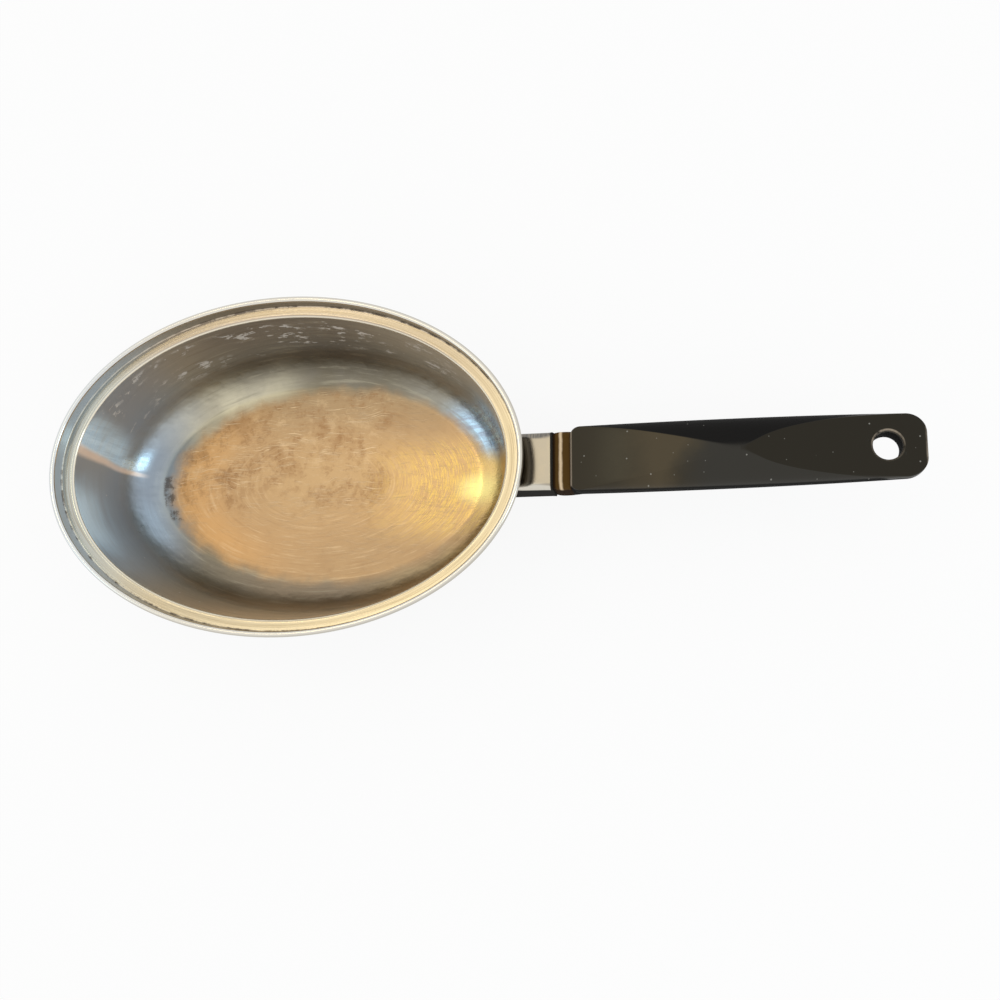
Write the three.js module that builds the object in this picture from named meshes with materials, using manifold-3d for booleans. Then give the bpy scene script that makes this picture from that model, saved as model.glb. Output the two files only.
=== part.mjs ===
// Oval frying pan: a drawn steel body with a stepped lid seat and a curled lip, a bracket
// welded to one end, a polished flame guard round the bracket, and a one-piece moulded
// handle that a single screw, driven from below, holds on the bracket's tang.
// Millimetres, +Z up, +X along the handle. The origin is the middle of the base, on the table.
import * as THREE from "three";
import { mergeVertices } from "three/addons/utils/BufferGeometryUtils.js";
import Module from "manifold-3d";

const wasm = await Module();
wasm.setup();

const degrees = THREE.MathUtils.degToRad;
const { lerp } = THREE.MathUtils;
const QUARTER = Math.PI / 2;

// Pan body
const RIM_LENGTH = 217; // over the lip, along the handle
const RIM_WIDTH = 150.2; // over the lip, across the handle
const RIM_HEIGHT = 53.6; // table to the top of the lip
const SHEET = 1; // clad steel sheet
const LIP_CURL_BORE = 0.25; // inside radius of the curled lip
const LIP_CURL_TURN = degrees(230);
const SEAT_WIDTH = 5; // ledge that a lid rests on, from wall to riser
const SEAT_DROP = 6.2; // top of the lip to the ledge
const SEAT_BEND = 0.7; // tighter side of both bends of the ledge
const WALL_DRAFT = degrees(8);
const FLOOR_FILLET = 18; // inside radius between floor and wall

// Handle, in its own frame: u along it from the nose face, v across, w up from its widest line
const GUARD_REACH = 10.5; // the flame guard's length past the lip
const HANDLE_DROP = 14.1; // top of the lip down to the handle's widest line at the nose
const HANDLE_TILT = degrees(3); // the handle rises away from the pan
const HANDLE_LENGTH = 149.4;
const GRIP_FRONT_WIDTH = 28;
const GRIP_REAR_WIDTH = 25.9; // where the end corners begin
const GRIP_SIDE_TURN = 85; // where the tangents of a side's two ends meet
const GRIP_SIDE_BOW = 0.8; // how far outside the front's width they meet
const GRIP_CROWN = 10.5; // the crest above the widest line
const GRIP_FRONT_DEPTH = 14.4; // the underside below the widest line
const GRIP_REAR_DEPTH = 9.5;
const GRIP_FRONT_SQUARENESS = 4.5; // exponent of the section's lower half
const GRIP_REAR_SQUARENESS = 2.6;
const SHOULDER_RADIUS = 4.5; // plan corners at the front of the grip
const END_CORNER_RADIUS = 8.4; // plan corners at the far end
const CREST_AT = 78; // where the front and rear facets meet
const FRONT_FACET_HEIGHT = 1.8; // above the widest line at the shoulder
const REAR_FACET_HEIGHT = 1.65; // above the widest line at the far end
const NOSE_LENGTH = 7.8;
const NOSE_WIDTH = 25; // across its top
const NOSE_FOOT_WIDTH = 27.3; // across its underside
const NOSE_HEIGHT = 14.4;
const NOSE_DEPTH = 14; // its underside below the widest line
const NOSE_CORNER_RADIUS = 2.6;
const NOSE_ROLL_AT = 4; // the top of its roll, past the nose face
const NOSE_ROLL = 0.9; // how far the roll falls away at the flame guard
const NOSE_RUN_ON = 10; // how far its foot runs on along the grip's sides
const NOSE_RUN_ON_FALL = 1.6; // how far it has fallen away by then
const SPIGOT_LENGTH = 2.5; // tongue of the nose inside the flame guard
const HANG_HOLE_DIAMETER = 11.5;
const HANG_HOLE_FROM_END = 15;
const HANG_HOLE_CHAMFER = 0.9;

// Flame guard, bracket and fasteners
const GUARD_WALL = 0.9;
const GUARD_LIP_FLARE = 0.45;
const GUARD_LIP_LENGTH = 2.4;
const PAD_THICKNESS = 2.5;
const PAD_MARGIN = 0.9; // between the bracket's pad and the guard round it
const TANG_WIDTH = 13;
const TANG_THICKNESS = 2.5;
const TANG_REACH = 38; // past the nose face
const TANG_RISE = 2.2; // its top above the middle of the nose
const SCREW_AT = 24; // past the nose face
const SHANK_DIAMETER = 4;
const HEAD_DIAMETER = 7.6;
const HEAD_HEIGHT = 2.3;
const HEAD_SLOT_WIDTH = 1.1;
const HEAD_SLOT_DEPTH = 1.2;
const SCREW_SEAT = 2.5; // moulding left between the tang and the washer
const WASHER_INSET = 0.3; // the washer's edge inside the head's
const WASHER_THICKNESS = 1;
const WASHER_SPLIT = degrees(14);
const NUT_SIDE = 7.5;
const NUT_HEIGHT = 2.8;

// Clearances
const WALL_GAP = 0.3; // between the pan's wall and what is fitted to it
const SOCKET_GAP = 0.3; // round the tang, the nut, the spigot and the screw
const FACE_GAP = 0.1; // between flat faces that bear on each other

// Facets
const OVAL_SEGMENTS = 72;
const FILLET_STEPS = 8;
const BEND_STEPS = 3;
const CURL_STEPS = 6;
const CORNER_STEPS = 5;
const ROUND_SEGMENTS = 32;
const GRIP_QUARTER_STEPS = 9;
const GRIP_LENGTH_STEPS = 8;
const FACET_ARC_STEPS = 12;

// Materials
const metal = (color, roughness) => new THREE.MeshStandardMaterial({ color, roughness, metalness: 1 });
const panSteel = metal(0xb9b3a8, 0.35);
const polishedSteel = metal(0xd2d2d0, 0.12);
const bracketSteel = metal(0x9c9c9a, 0.45);
const zincSteel = metal(0xa9abab, 0.35);
const blackPhenolic = new THREE.MeshStandardMaterial({ color: 0x14120f, roughness: 0.18, metalness: 0 });

// A closed geometry as a solid for joining and cutting.
function solidOf(geometry) {
  const bare = geometry.clone();
  bare.deleteAttribute("normal");
  bare.deleteAttribute("uv");
  const merged = mergeVertices(bare, 1e-4);
  const corners = merged.index.array;
  const kept = [];
  for (let i = 0; i < corners.length; i += 3) {
    const [a, b, c] = corners.subarray(i, i + 3);
    if (a !== b && b !== c && c !== a) kept.push(a, b, c);
  }
  const vertProperties = merged.attributes.position.array;
  const mesh = new wasm.Mesh({ numProp: 3, vertProperties, triVerts: new Uint32Array(kept) });
  return new wasm.Manifold(mesh);
}

function piece(name, solid, material) {
  const { vertProperties, triVerts } = solid.getMesh();
  const geometry = new THREE.BufferGeometry();
  geometry.setAttribute("position", new THREE.BufferAttribute(new Float32Array(vertProperties), 3));
  geometry.setIndex(new THREE.BufferAttribute(new Uint32Array(triVerts), 1));
  geometry.computeVertexNormals();
  const mesh = new THREE.Mesh(geometry, material);
  mesh.name = name;
  return mesh;
}

// Values from one number to another in equal steps, both ends included.
const span = (from, to, steps) => Array.from({ length: steps + 1 }, (_, i) => lerp(from, to, i / steps));

// A solid through convex rings of points, each ring anticlockwise seen from the last one.
function loft(rings) {
  const count = rings[0].length;
  const middle = (ring) => ring.reduce((sum, p) => sum.add(p), new THREE.Vector3()).divideScalar(count);
  const points = [...rings.flat(), middle(rings[0]), middle(rings.at(-1))];
  const front = points.length - 2;
  const back = points.length - 1;
  const lastRing = (rings.length - 1) * count;
  const index = [];
  for (let j = 0; j < count; j += 1) {
    const next = (j + 1) % count;
    for (let i = 0; i + 1 < rings.length; i += 1) {
      const a = i * count;
      const b = a + count;
      index.push(a + j, a + next, b + j, a + next, b + next, b + j);
    }
    index.push(front, next, j, back, lastRing + j, lastRing + next);
  }
  return solidOf(new THREE.BufferGeometry().setFromPoints(points).setIndex(index));
}

// A flat outline in (u, v), made solid from one height to another.
function upright(shape, low, high, curveSegments = ROUND_SEGMENTS) {
  const options = { depth: high - low, bevelEnabled: false, curveSegments };
  const geometry = new THREE.ExtrudeGeometry(shape, options);
  return solidOf(geometry.translate(0, 0, low));
}

// A profile of [radius, height] points that starts and ends on the axis, turned about it.
function turned(profile, segments) {
  const outline = profile.map(([r, z]) => new THREE.Vector2(Math.max(r, 0), z));
  return new THREE.LatheGeometry(outline, segments).rotateX(QUARTER);
}

function roundBar(diameter, low, high, u) {
  const profile = [[0, low], [diameter / 2, low], [diameter / 2, high], [0, high]];
  return solidOf(turned(profile, ROUND_SEGMENTS).translate(u, 0, 0));
}

function rectangle(u0, u1, halfWidth) {
  const corners = [[u0, -halfWidth], [u1, -halfWidth], [u1, halfWidth], [u0, halfWidth]];
  return new THREE.Shape(corners.map(([u, v]) => new THREE.Vector2(u, v)));
}

// The middle of the pan's sheet in half section, from the centre of the floor out to the lip.
// Each point has its place as [r, z] and the unit normal that faces the cook.
function sheetLine() {
  const half = SHEET / 2;
  const curl = LIP_CURL_BORE + half;
  const bend = SEAT_BEND + half;
  const fillet = FLOOR_FILLET + half;
  const lip = { r: RIM_WIDTH / 2 - half - curl, z: RIM_HEIGHT - half - curl };
  const riser = lip.r - curl;
  const seat = { start: riser + bend - SEAT_WIDTH, end: riser - bend, z: RIM_HEIGHT - SEAT_DROP - half };
  const wallTop = {
    r: seat.start - bend * Math.cos(WALL_DRAFT),
    z: seat.z - bend * (1 - Math.sin(WALL_DRAFT)),
  };
  const wallFoot = half + fillet * (1 - Math.sin(WALL_DRAFT));
  const wallRun = (wallTop.z - wallFoot) * Math.tan(WALL_DRAFT);
  const floorEdge = wallTop.r - wallRun - fillet * Math.cos(WALL_DRAFT);

  const arc = (r, z, radius, from, to, steps) =>
    span(from, to, steps).map((angle) => {
      const [c, s] = [Math.cos(angle), Math.sin(angle)];
      const side = to > from ? -1 : 1;
      return { at: [r + radius * c, z + radius * s], normal: [side * c, side * s] };
    });
  const body = [
    { at: [0, half], normal: [0, 1] },
    ...arc(floorEdge, half + fillet, fillet, -QUARTER, -WALL_DRAFT, FILLET_STEPS),
    ...arc(seat.start, seat.z - bend, bend, Math.PI - WALL_DRAFT, QUARTER, BEND_STEPS),
    ...arc(seat.end, seat.z + bend, bend, -QUARTER, 0, BEND_STEPS),
  ];
  const curledLip = arc(lip.r, lip.z, curl, Math.PI, Math.PI - LIP_CURL_TURN, CURL_STEPS);
  return { body, curledLip, floorEdge, lipMiddle: lip.z };
}

const sheet = sheetLine();
const spread = (RIM_LENGTH - RIM_WIDTH) / 2;

const offsetLine = (line, distance) =>
  line.map(({ at, normal }) => [at[0] + normal[0] * distance, at[1] + normal[1] * distance]);

// A half section turned into an oval: outside the flat of the floor every ring is set out by
// the same amount along X, so the wall keeps one section all the way round.
function ovalTurned(profile) {
  const geometry = turned(profile, OVAL_SEGMENTS);
  const position = geometry.attributes.position;
  for (let i = 0; i < position.count; i += 1) {
    const r = Math.hypot(position.getX(i), position.getY(i));
    position.setX(i, position.getX(i) * (1 + spread / Math.max(r, sheet.floorEdge)));
  }
  return solidOf(geometry);
}

function panBody() {
  const line = [...sheet.body, ...sheet.curledLip];
  return ovalTurned([...offsetLine(line, -SHEET / 2), ...offsetLine(line, SHEET / 2).reverse()]);
}

// The handle's frame in the pan's
const noseX = RIM_LENGTH / 2 + GUARD_REACH;
const handleFrame = new THREE.Group();
handleFrame.position.set(noseX, 0, RIM_HEIGHT - HANDLE_DROP);
handleFrame.rotation.y = -HANDLE_TILT;
handleFrame.updateMatrix();
const toHandleFrame = handleFrame.matrix.clone().invert().elements;
const insidePan = sheet.floorEdge + spread - noseX; // a place along u well behind the wall
const noseMiddle = NOSE_HEIGHT / 2 - NOSE_DEPTH;

// Everything inside the pan's outer surface grown by a distance, in the handle's frame.
function panBlock(grown) {
  const outside = offsetLine(sheet.body, -SHEET / 2 - grown);
  return ovalTurned([...outside, [0, sheet.lipMiddle]]).transform(toHandleFrame);
}

// A loft of the nose's rounded section, grown by an amount at each [u, grown] station.
function noseLoft(stations) {
  const corners = [[1, 1], [-1, 1], [-1, -1], [1, -1]];
  const ring = ([u, grown]) => {
    const inset = Math.max(NOSE_CORNER_RADIUS, -grown);
    const radius = inset + grown;
    return corners.flatMap(([v, w], corner) =>
      span(corner * QUARTER, (corner + 1) * QUARTER, CORNER_STEPS).map((angle) => {
        const width = w > 0 ? NOSE_WIDTH : NOSE_FOOT_WIDTH;
        const across = v * (width / 2 - inset) + radius * Math.cos(angle);
        const up = noseMiddle + w * (NOSE_HEIGHT / 2 - inset) + radius * Math.sin(angle);
        return new THREE.Vector3(u, across, up);
      }),
    );
  };
  return loft(stations.map(ring));
}

function flameGuard() {
  const end = -FACE_GAP;
  const past = end + GUARD_WALL;
  const lip = span(0, QUARTER, CORNER_STEPS).map((angle) => [
    end - GUARD_LIP_LENGTH * (1 - Math.sin(angle)),
    GUARD_LIP_FLARE * (1 - Math.cos(angle)),
  ]);
  const outer = noseLoft([[insidePan, 0], ...lip]);
  const bore = lip.map(([u, grown]) => [u, grown - GUARD_WALL]);
  const inner = noseLoft([[insidePan - 1, -GUARD_WALL], ...bore, [past, GUARD_LIP_FLARE - GUARD_WALL]]);
  return outer.subtract(inner).subtract(panBlock(WALL_GAP));
}

// Heights along the screw, from the nut down to the outer face of the head
const tangTop = noseMiddle + TANG_RISE;
const tangLow = tangTop - TANG_THICKNESS;
const nutLow = tangTop + FACE_GAP;
const nutHigh = nutLow + NUT_HEIGHT;
const slotLow = tangLow - FACE_GAP;
const wellTop = slotLow - SCREW_SEAT;
const washerHigh = wellTop - FACE_GAP;
const washerLow = washerHigh - WASHER_THICKNESS;
const headBearing = washerLow - FACE_GAP;
const headFace = headBearing - HEAD_HEIGHT;
const shankHole = SHANK_DIAMETER + 2 * SOCKET_GAP;

// The tang's plan, with a round end, grown by a clearance and begun anywhere along u.
function tangPlan(from, grown) {
  const half = TANG_WIDTH / 2 + grown;
  const roundAt = TANG_REACH + grown - half;
  const plan = new THREE.Shape();
  plan.moveTo(from, -half);
  plan.lineTo(roundAt, -half);
  plan.absarc(roundAt, 0, half, -QUARTER, QUARTER, false);
  plan.lineTo(from, half);
  return plan;
}

function handleBracket() {
  const inGuard = -GUARD_WALL - PAD_MARGIN;
  const block = noseLoft([[insidePan, inGuard], [0, inGuard]]);
  const pad = block.intersect(panBlock(WALL_GAP + PAD_THICKNESS));
  const tang = upright(tangPlan(insidePan, 0), tangLow, tangTop);
  const hole = roundBar(shankHole, slotLow, nutLow, SCREW_AT);
  return pad.add(tang).subtract(panBlock(WALL_GAP)).subtract(hole);
}

// How a size of the grip runs from its front to its rear.
const alongGrip = (front, rear, u) => lerp(front, rear, (u - NOSE_LENGTH) / (HANDLE_LENGTH - NOSE_LENGTH));
const gripDepth = (u) => alongGrip(GRIP_FRONT_DEPTH, GRIP_REAR_DEPTH, u);

// The grip's half plan: shoulder, side that bows out, and end corner.
function gripPlan() {
  const endRadius = Math.min(END_CORNER_RADIUS, 0.8 * (GRIP_REAR_WIDTH / 2));
  const front = new THREE.Vector2(NOSE_LENGTH + SHOULDER_RADIUS, GRIP_FRONT_WIDTH / 2);
  const rear = new THREE.Vector2(HANDLE_LENGTH - endRadius, GRIP_REAR_WIDTH / 2);
  const turn = new THREE.Vector2(GRIP_SIDE_TURN, front.y + GRIP_SIDE_BOW);
  const side = new THREE.QuadraticBezierCurve(front, turn, rear).getPoints(GRIP_LENGTH_STEPS);
  const corner = (at, radius, from) =>
    span(from, from - QUARTER, CORNER_STEPS).map(
      (angle) => new THREE.Vector2(at.x + radius * Math.cos(angle), at.y - radius * (1 - Math.sin(angle))),
    );
  const shoulder = corner(front, SHOULDER_RADIUS, Math.PI);
  return [...shoulder.slice(0, -1), ...side, ...corner(rear, endRadius, QUARTER).slice(1)];
}

// One section of the grip: half an ellipse above the widest line, a squarer half below it.
function gripRing({ x: u, y: halfWidth }) {
  const squareness = 2 / alongGrip(GRIP_FRONT_SQUARENESS, GRIP_REAR_SQUARENESS, u);
  const angles = span(0, 4 * QUARTER, 4 * GRIP_QUARTER_STEPS).slice(0, -1);
  return angles.map((angle) => {
    const [c, s] = [Math.cos(angle), Math.sin(angle)];
    const power = s < 0 ? squareness : 1;
    const reach = s < 0 ? gripDepth(u) : GRIP_CROWN;
    const v = halfWidth * Math.sign(c) * Math.abs(c) ** power;
    return new THREE.Vector3(u, v, reach * Math.sign(s) * Math.abs(s) ** power);
  });
}

const rearFall = Math.atan2(GRIP_CROWN - REAR_FACET_HEIGHT, HANDLE_LENGTH - CREST_AT);
const rearFacetAt = (u) => GRIP_CROWN - (u - CREST_AT) * Math.tan(rearFall);

// What the two facets take off the top of the grip, drawn in side view. The front one is a long
// arc that is level at the crest, the rear one a plane that falls away from it.
function facetCutter() {
  const run = CREST_AT - NOSE_LENGTH;
  const drop = GRIP_CROWN - FRONT_FACET_HEIGHT;
  const radius = (run * run + drop * drop) / (2 * drop);
  const past = HANDLE_LENGTH + SHOULDER_RADIUS;
  const before = NOSE_LENGTH - SHOULDER_RADIUS;
  const sweep = Math.asin((CREST_AT - before) / radius);
  const side = new THREE.Shape();
  side.moveTo(past, 2 * GRIP_CROWN);
  side.lineTo(before, 2 * GRIP_CROWN);
  side.absarc(CREST_AT, GRIP_CROWN - radius, radius, QUARTER + sweep, QUARTER, true);
  side.lineTo(past, rearFacetAt(past));
  const options = { depth: 2 * GRIP_FRONT_WIDTH, bevelEnabled: false, curveSegments: FACET_ARC_STEPS };
  const block = new THREE.ExtrudeGeometry(side, options);
  return solidOf(block.translate(0, 0, -GRIP_FRONT_WIDTH).rotateX(QUARTER));
}

// The hang hole: a bore, and a flare square to each face that eases its edge.
function hangHole() {
  const at = HANDLE_LENGTH - HANG_HOLE_FROM_END;
  const underside = -gripDepth(at);
  const bore = HANG_HOLE_DIAMETER / 2;
  const ease = HANG_HOLE_CHAMFER;
  const profile = [[0, -ease], [bore, -ease], [bore + 2 * ease, ease], [0, ease]];
  const flare = (height, tilt) =>
    solidOf(turned(profile, ROUND_SEGMENTS).rotateY(tilt).translate(at, 0, height));
  return roundBar(HANG_HOLE_DIAMETER, 2 * underside, 2 * GRIP_CROWN, at)
    .add(flare(rearFacetAt(at), rearFall))
    .add(flare(underside, Math.PI));
}

// What the tang, its nut, the screw and the screw's head need inside the handle.
function handleSocket() {
  const mouth = -2 * SPIGOT_LENGTH;
  const nutHalf = NUT_SIDE / 2 + SOCKET_GAP;
  const slot = upright(tangPlan(mouth, SOCKET_GAP), slotLow, nutLow + SOCKET_GAP);
  const nutChannel = upright(rectangle(mouth, SCREW_AT + nutHalf, nutHalf), nutLow, nutHigh + SOCKET_GAP);
  const shank = roundBar(shankHole, washerLow, nutLow, SCREW_AT);
  const headWell = roundBar(HEAD_DIAMETER + 2 * SOCKET_GAP, 2 * headFace, wellTop, SCREW_AT);
  return slot.add(nutChannel).add(shank).add(headWell);
}

function handle() {
  const grip = loft(gripPlan().map(gripRing)).subtract(facetCutter());
  const roll = span(0, QUARTER, CORNER_STEPS).map((angle) => [
    NOSE_ROLL_AT * (1 - Math.cos(angle)),
    -NOSE_ROLL * (1 - Math.sin(angle)),
  ]);
  const runOn = span(0, 1, CORNER_STEPS)
    .slice(1)
    .map((t) => [lerp(NOSE_ROLL_AT, NOSE_LENGTH + NOSE_RUN_ON, t), -NOSE_RUN_ON_FALL * t * t]);
  const nose = noseLoft([...roll, ...runOn]);
  const inGuard = -GUARD_WALL - SOCKET_GAP;
  const spigot = noseLoft([[-SPIGOT_LENGTH, inGuard], [NOSE_LENGTH, inGuard]]);
  return grip.add(nose).add(spigot).subtract(hangHole()).subtract(handleSocket());
}

function tangNut() {
  const plan = rectangle(SCREW_AT - NUT_SIDE / 2, SCREW_AT + NUT_SIDE / 2, NUT_SIDE / 2);
  return upright(plan, nutLow, nutHigh).subtract(roundBar(shankHole, tangTop, nutHigh + FACE_GAP, SCREW_AT));
}

// A slotted screw with its rounded head at the bottom.
function handleScrew() {
  const shank = SHANK_DIAMETER / 2;
  const head = HEAD_DIAMETER / 2;
  const round = HEAD_HEIGHT / 2;
  const crown = span(0, QUARTER, CORNER_STEPS).map((angle) => [
    head - round * (1 - Math.sin(angle)),
    headFace + round * (1 - Math.cos(angle)),
  ]);
  const profile = [
    [0, headFace],
    ...crown,
    [head, headBearing],
    [shank, headBearing],
    [shank, nutHigh],
    [0, nutHigh],
  ];
  const slot = new THREE.BoxGeometry(2 * HEAD_DIAMETER, HEAD_SLOT_WIDTH, 2 * HEAD_SLOT_DEPTH);
  const screw = solidOf(turned(profile, ROUND_SEGMENTS)).subtract(solidOf(slot.translate(0, 0, headFace)));
  return screw.translate(SCREW_AT, 0, 0);
}

// A spring washer, cut through on one side.
function lockWasher() {
  const [from, to] = [WASHER_SPLIT / 2, 4 * QUARTER - WASHER_SPLIT / 2];
  const plan = new THREE.Shape();
  plan.absarc(SCREW_AT, 0, HEAD_DIAMETER / 2 - WASHER_INSET, from, to, false);
  plan.absarc(SCREW_AT, 0, shankHole / 2, to, from, true);
  return upright(plan, washerLow, washerHigh);
}

handleFrame.add(
  piece("handle_bracket", handleBracket(), bracketSteel),
  piece("flame_guard", flameGuard(), polishedSteel),
  piece("handle", handle(), blackPhenolic),
  piece("tang_nut", tangNut(), zincSteel),
  piece("handle_screw", handleScrew(), zincSteel),
  piece("lock_washer", lockWasher(), zincSteel),
);

const pan = new THREE.Group();
pan.name = "oval_frying_pan";
pan.add(piece("pan_body", panBody(), panSteel), handleFrame);

export default pan;
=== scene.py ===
"""A used oval frying pan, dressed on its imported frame: smooth steel body, flame guard and faceted
phenolic handle, with procedural finishes for these and for the fittings inside the handle."""

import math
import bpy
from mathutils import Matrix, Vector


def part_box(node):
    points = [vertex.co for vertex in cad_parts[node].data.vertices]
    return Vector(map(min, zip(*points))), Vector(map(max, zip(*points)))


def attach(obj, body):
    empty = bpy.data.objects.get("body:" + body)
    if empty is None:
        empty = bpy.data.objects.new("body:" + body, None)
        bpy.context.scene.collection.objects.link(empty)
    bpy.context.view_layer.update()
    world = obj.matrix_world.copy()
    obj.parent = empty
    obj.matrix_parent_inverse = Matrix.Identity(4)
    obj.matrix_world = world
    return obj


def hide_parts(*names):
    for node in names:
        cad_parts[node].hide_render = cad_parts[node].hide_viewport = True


bl_info = {
    "name": "Oval frying pan",
    "version": (1, 0, 0),
    "blender": (4, 5, 0),
    "location": "3D View > Sidebar > Frying pan",
    "description": "Models and finishes an oval steel frying pan with a faceted handle",
    "category": "Object",
}

from functools import partial

import bmesh
import bpy
from bpy.props import FloatProperty, FloatVectorProperty, PointerProperty
from mathutils import Matrix, Vector
from mathutils.geometry import intersect_line_line_2d

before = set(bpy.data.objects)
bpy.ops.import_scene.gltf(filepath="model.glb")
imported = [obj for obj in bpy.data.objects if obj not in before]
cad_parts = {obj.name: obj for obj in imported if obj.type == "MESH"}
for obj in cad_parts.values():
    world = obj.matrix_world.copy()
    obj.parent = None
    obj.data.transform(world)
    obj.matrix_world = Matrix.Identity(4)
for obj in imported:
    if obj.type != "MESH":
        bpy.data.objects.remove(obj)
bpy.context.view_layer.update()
BODY_LOW, BODY_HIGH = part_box("pan_body")

MM = 0.001
QUARTER = math.pi / 2

# Points that are this close are one point.
WELD = 1e-7
# Slack for distances along the body's section, which are in millimetres.
MARK_SLACK = 0.1
# How far the handle's cutters run into each other.
CUT_OVERLAP = 0.3 * MM

ROUND_STEPS, HOLE_STEPS, SLOT_STEPS = 288, 64, 48
FILLET_STEPS, BEND_STEPS, CORNER_STEPS, LIP_STEPS = 20, 7, 5, 18
HOLE_EDGE_STEPS = 6


def labelled(group):
    """Makes the settings of a group, each with its own name as its label."""
    settings = group.__annotations__
    for key, setting in settings.items():
        settings[key] = setting(name=key.replace("_", " ").capitalize())
    return group


def number(description, default, **kind):
    """A number that can be set."""
    return partial(FloatProperty, description=description, default=default, **kind)


def length(description, millimetres):
    """A length that can be set. Blender keeps it in metres."""
    return number(description, millimetres * MM, precision=5, unit="LENGTH", subtype="DISTANCE")


def angle(description, degrees):
    """An angle that can be set. Blender keeps it in radians."""
    return number(description, math.radians(degrees), unit="ROTATION", subtype="ANGLE")


def ratio(description, default):
    """A share from 0 to 1 that can be set."""
    return number(description, default, subtype="FACTOR", min=0, max=1)


def triple(description, default, **kind):
    """Three numbers that can be set."""
    return partial(FloatVectorProperty, description=description, default=default, size=3, **kind)


def colour(description, default):
    """A colour that can be set, in linear light."""
    return triple(description, default, subtype="COLOR", min=0, max=1)


@labelled
class PanBodySizes(bpy.types.PropertyGroup):
    """Sizes of the drawn steel body."""

    rim_length: length("Over the lip, along the handle", (BODY_HIGH.x - BODY_LOW.x) / MM)
    rim_width: length("Over the lip, across the handle", (BODY_HIGH.y - BODY_LOW.y) / MM)
    rim_height: length("Table to the top of the lip", BODY_HIGH.z / MM)
    sheet: length("Thickness of the clad sheet", 1)
    lip_radius: length("Outside radius of the curled lip", 1.25)
    lip_turn: angle("How far the lip is curled", 230)
    ledge_width: length("From wall to riser", 5)
    end_lap: length("How far the ledge runs in past the sheet, at the ends", 1.2)
    side_lap: length("How far it does so at the sides", 0.4)
    ledge_drop: length("Top of the lip to the ledge", 6.2)
    ledge_bend: length("Tighter side of both bends of the ledge", 0.7)
    wall_draft: angle("Lean of the wall", 8)
    floor_fillet: length("Inside radius between floor and wall", 18)


@labelled
class HandleSizes(bpy.types.PropertyGroup):
    """Sizes of the handle and the flame guard, from the nose face along the handle."""

    nose_x: length("From the middle of the pan", 119)
    nose_z: length("Height of the handle's widest line at the nose", 39.5)
    tilt: angle("How the handle rises away from the pan", 3)
    reach: length("From the nose face to the far end", 149.4)
    front_width: length("Across the front of the grip", 28)
    rear_width: length("Across the grip where its end corners begin", 25.9)
    side_turn: length("Where the tangents of a side's two ends meet", 85)
    side_bow: length("How far outside the front's width they meet", 0.8)
    crown: length("Crest above the widest line", 10.4)
    front_depth: length("Underside below the widest line, at the front", 14.4)
    rear_depth: length("Underside below the widest line, at the far end", 9.5)
    front_square: number("Exponent of the underside's outline at the front", 4.5)
    rear_square: number("Exponent of the underside's outline at the far end", 2.6)
    shoulder_radius: length("Plan corners at the front", 4.5)
    end_radius: length("Plan corners at the far end", 8.4)
    crest_at: length("Where the two facets meet", 78)
    crest_roll: length("How far the crest rolls over into the rear facet", 9)
    front_facet: length("Above the widest line at the shoulder", 1.8)
    rear_facet: length("Above the widest line at the far end", 1.65)
    edge_round: length("Radius along the facets' edges", 0.45)
    front_round: length("Radius of the front edge", 0.9)
    end_round: length("Radius of the far end's edges", 1)
    grip_start: length("First section of the grip behind the nose", 0.3)
    nose_length: length("From the nose face to the grip", 7.8)
    nose_width: length("Across the nose's top", 25)
    nose_foot: length("Across the nose's underside", 27.3)
    nose_height: length("Over the nose", 14.4)
    nose_depth: length("The nose's underside below the widest line", 14)
    nose_corner: length("Radius of the nose's corners", 2.6)
    nose_roll: length("How far the nose falls away at the flame guard", 0.9)
    nose_roll_at: length("Top of the roll, from the nose face", 4)
    run_on: length("How far the nose's foot runs on along the grip's sides", 10)
    run_on_fall: length("How far it has fallen away by then", 1.6)
    spigot: length("Tongue of the nose inside the flame guard", 2.5)
    spigot_gap: length("Between the spigot and the flame guard", 0.3)
    hole: length("Diameter of the hang hole", 11.5)
    hole_from_end: length("Middle of the hang hole to the far end", 15)
    hole_round: length("Radius of the hang hole's edges", 0.9)
    guard_wall: length("Sheet of the flame guard", 0.9)
    guard_flare: length("How far the guard's end is turned out", 0.15)
    guard_lip: length("Length of the turned-out end", 2.4)
    guard_gap: length("Between the guard's end and the nose face", 0.1)
    guard_round: length("Radius of the guard's end", 0.25)
    wall_gap: length("Between the pan's wall and the guard", 0.3)
    screw_at: length("From the nose face to the screw", 24)
    socket_top: length("Roof of the tang's socket below the widest line", 4.2)
    socket_foot: length("Floor of the tang's socket below the widest line", 7.2)
    socket_width: length("Across the tang's socket", 13.6)
    socket_end: length("Middle of the socket's round end, from the nose face", 31.5)
    nut_slot: length("Across the slot above the socket, where the nut slides in", 8.1)
    nut_slot_top: length("Roof of that slot below the widest line", 1.4)
    well: length("Diameter of the screw's well", 8.2)
    well_roof: length("Roof of the well below the widest line", 9.7)
    screw_hole: length("Diameter of the hole from the well to the socket", 4.6)


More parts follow.
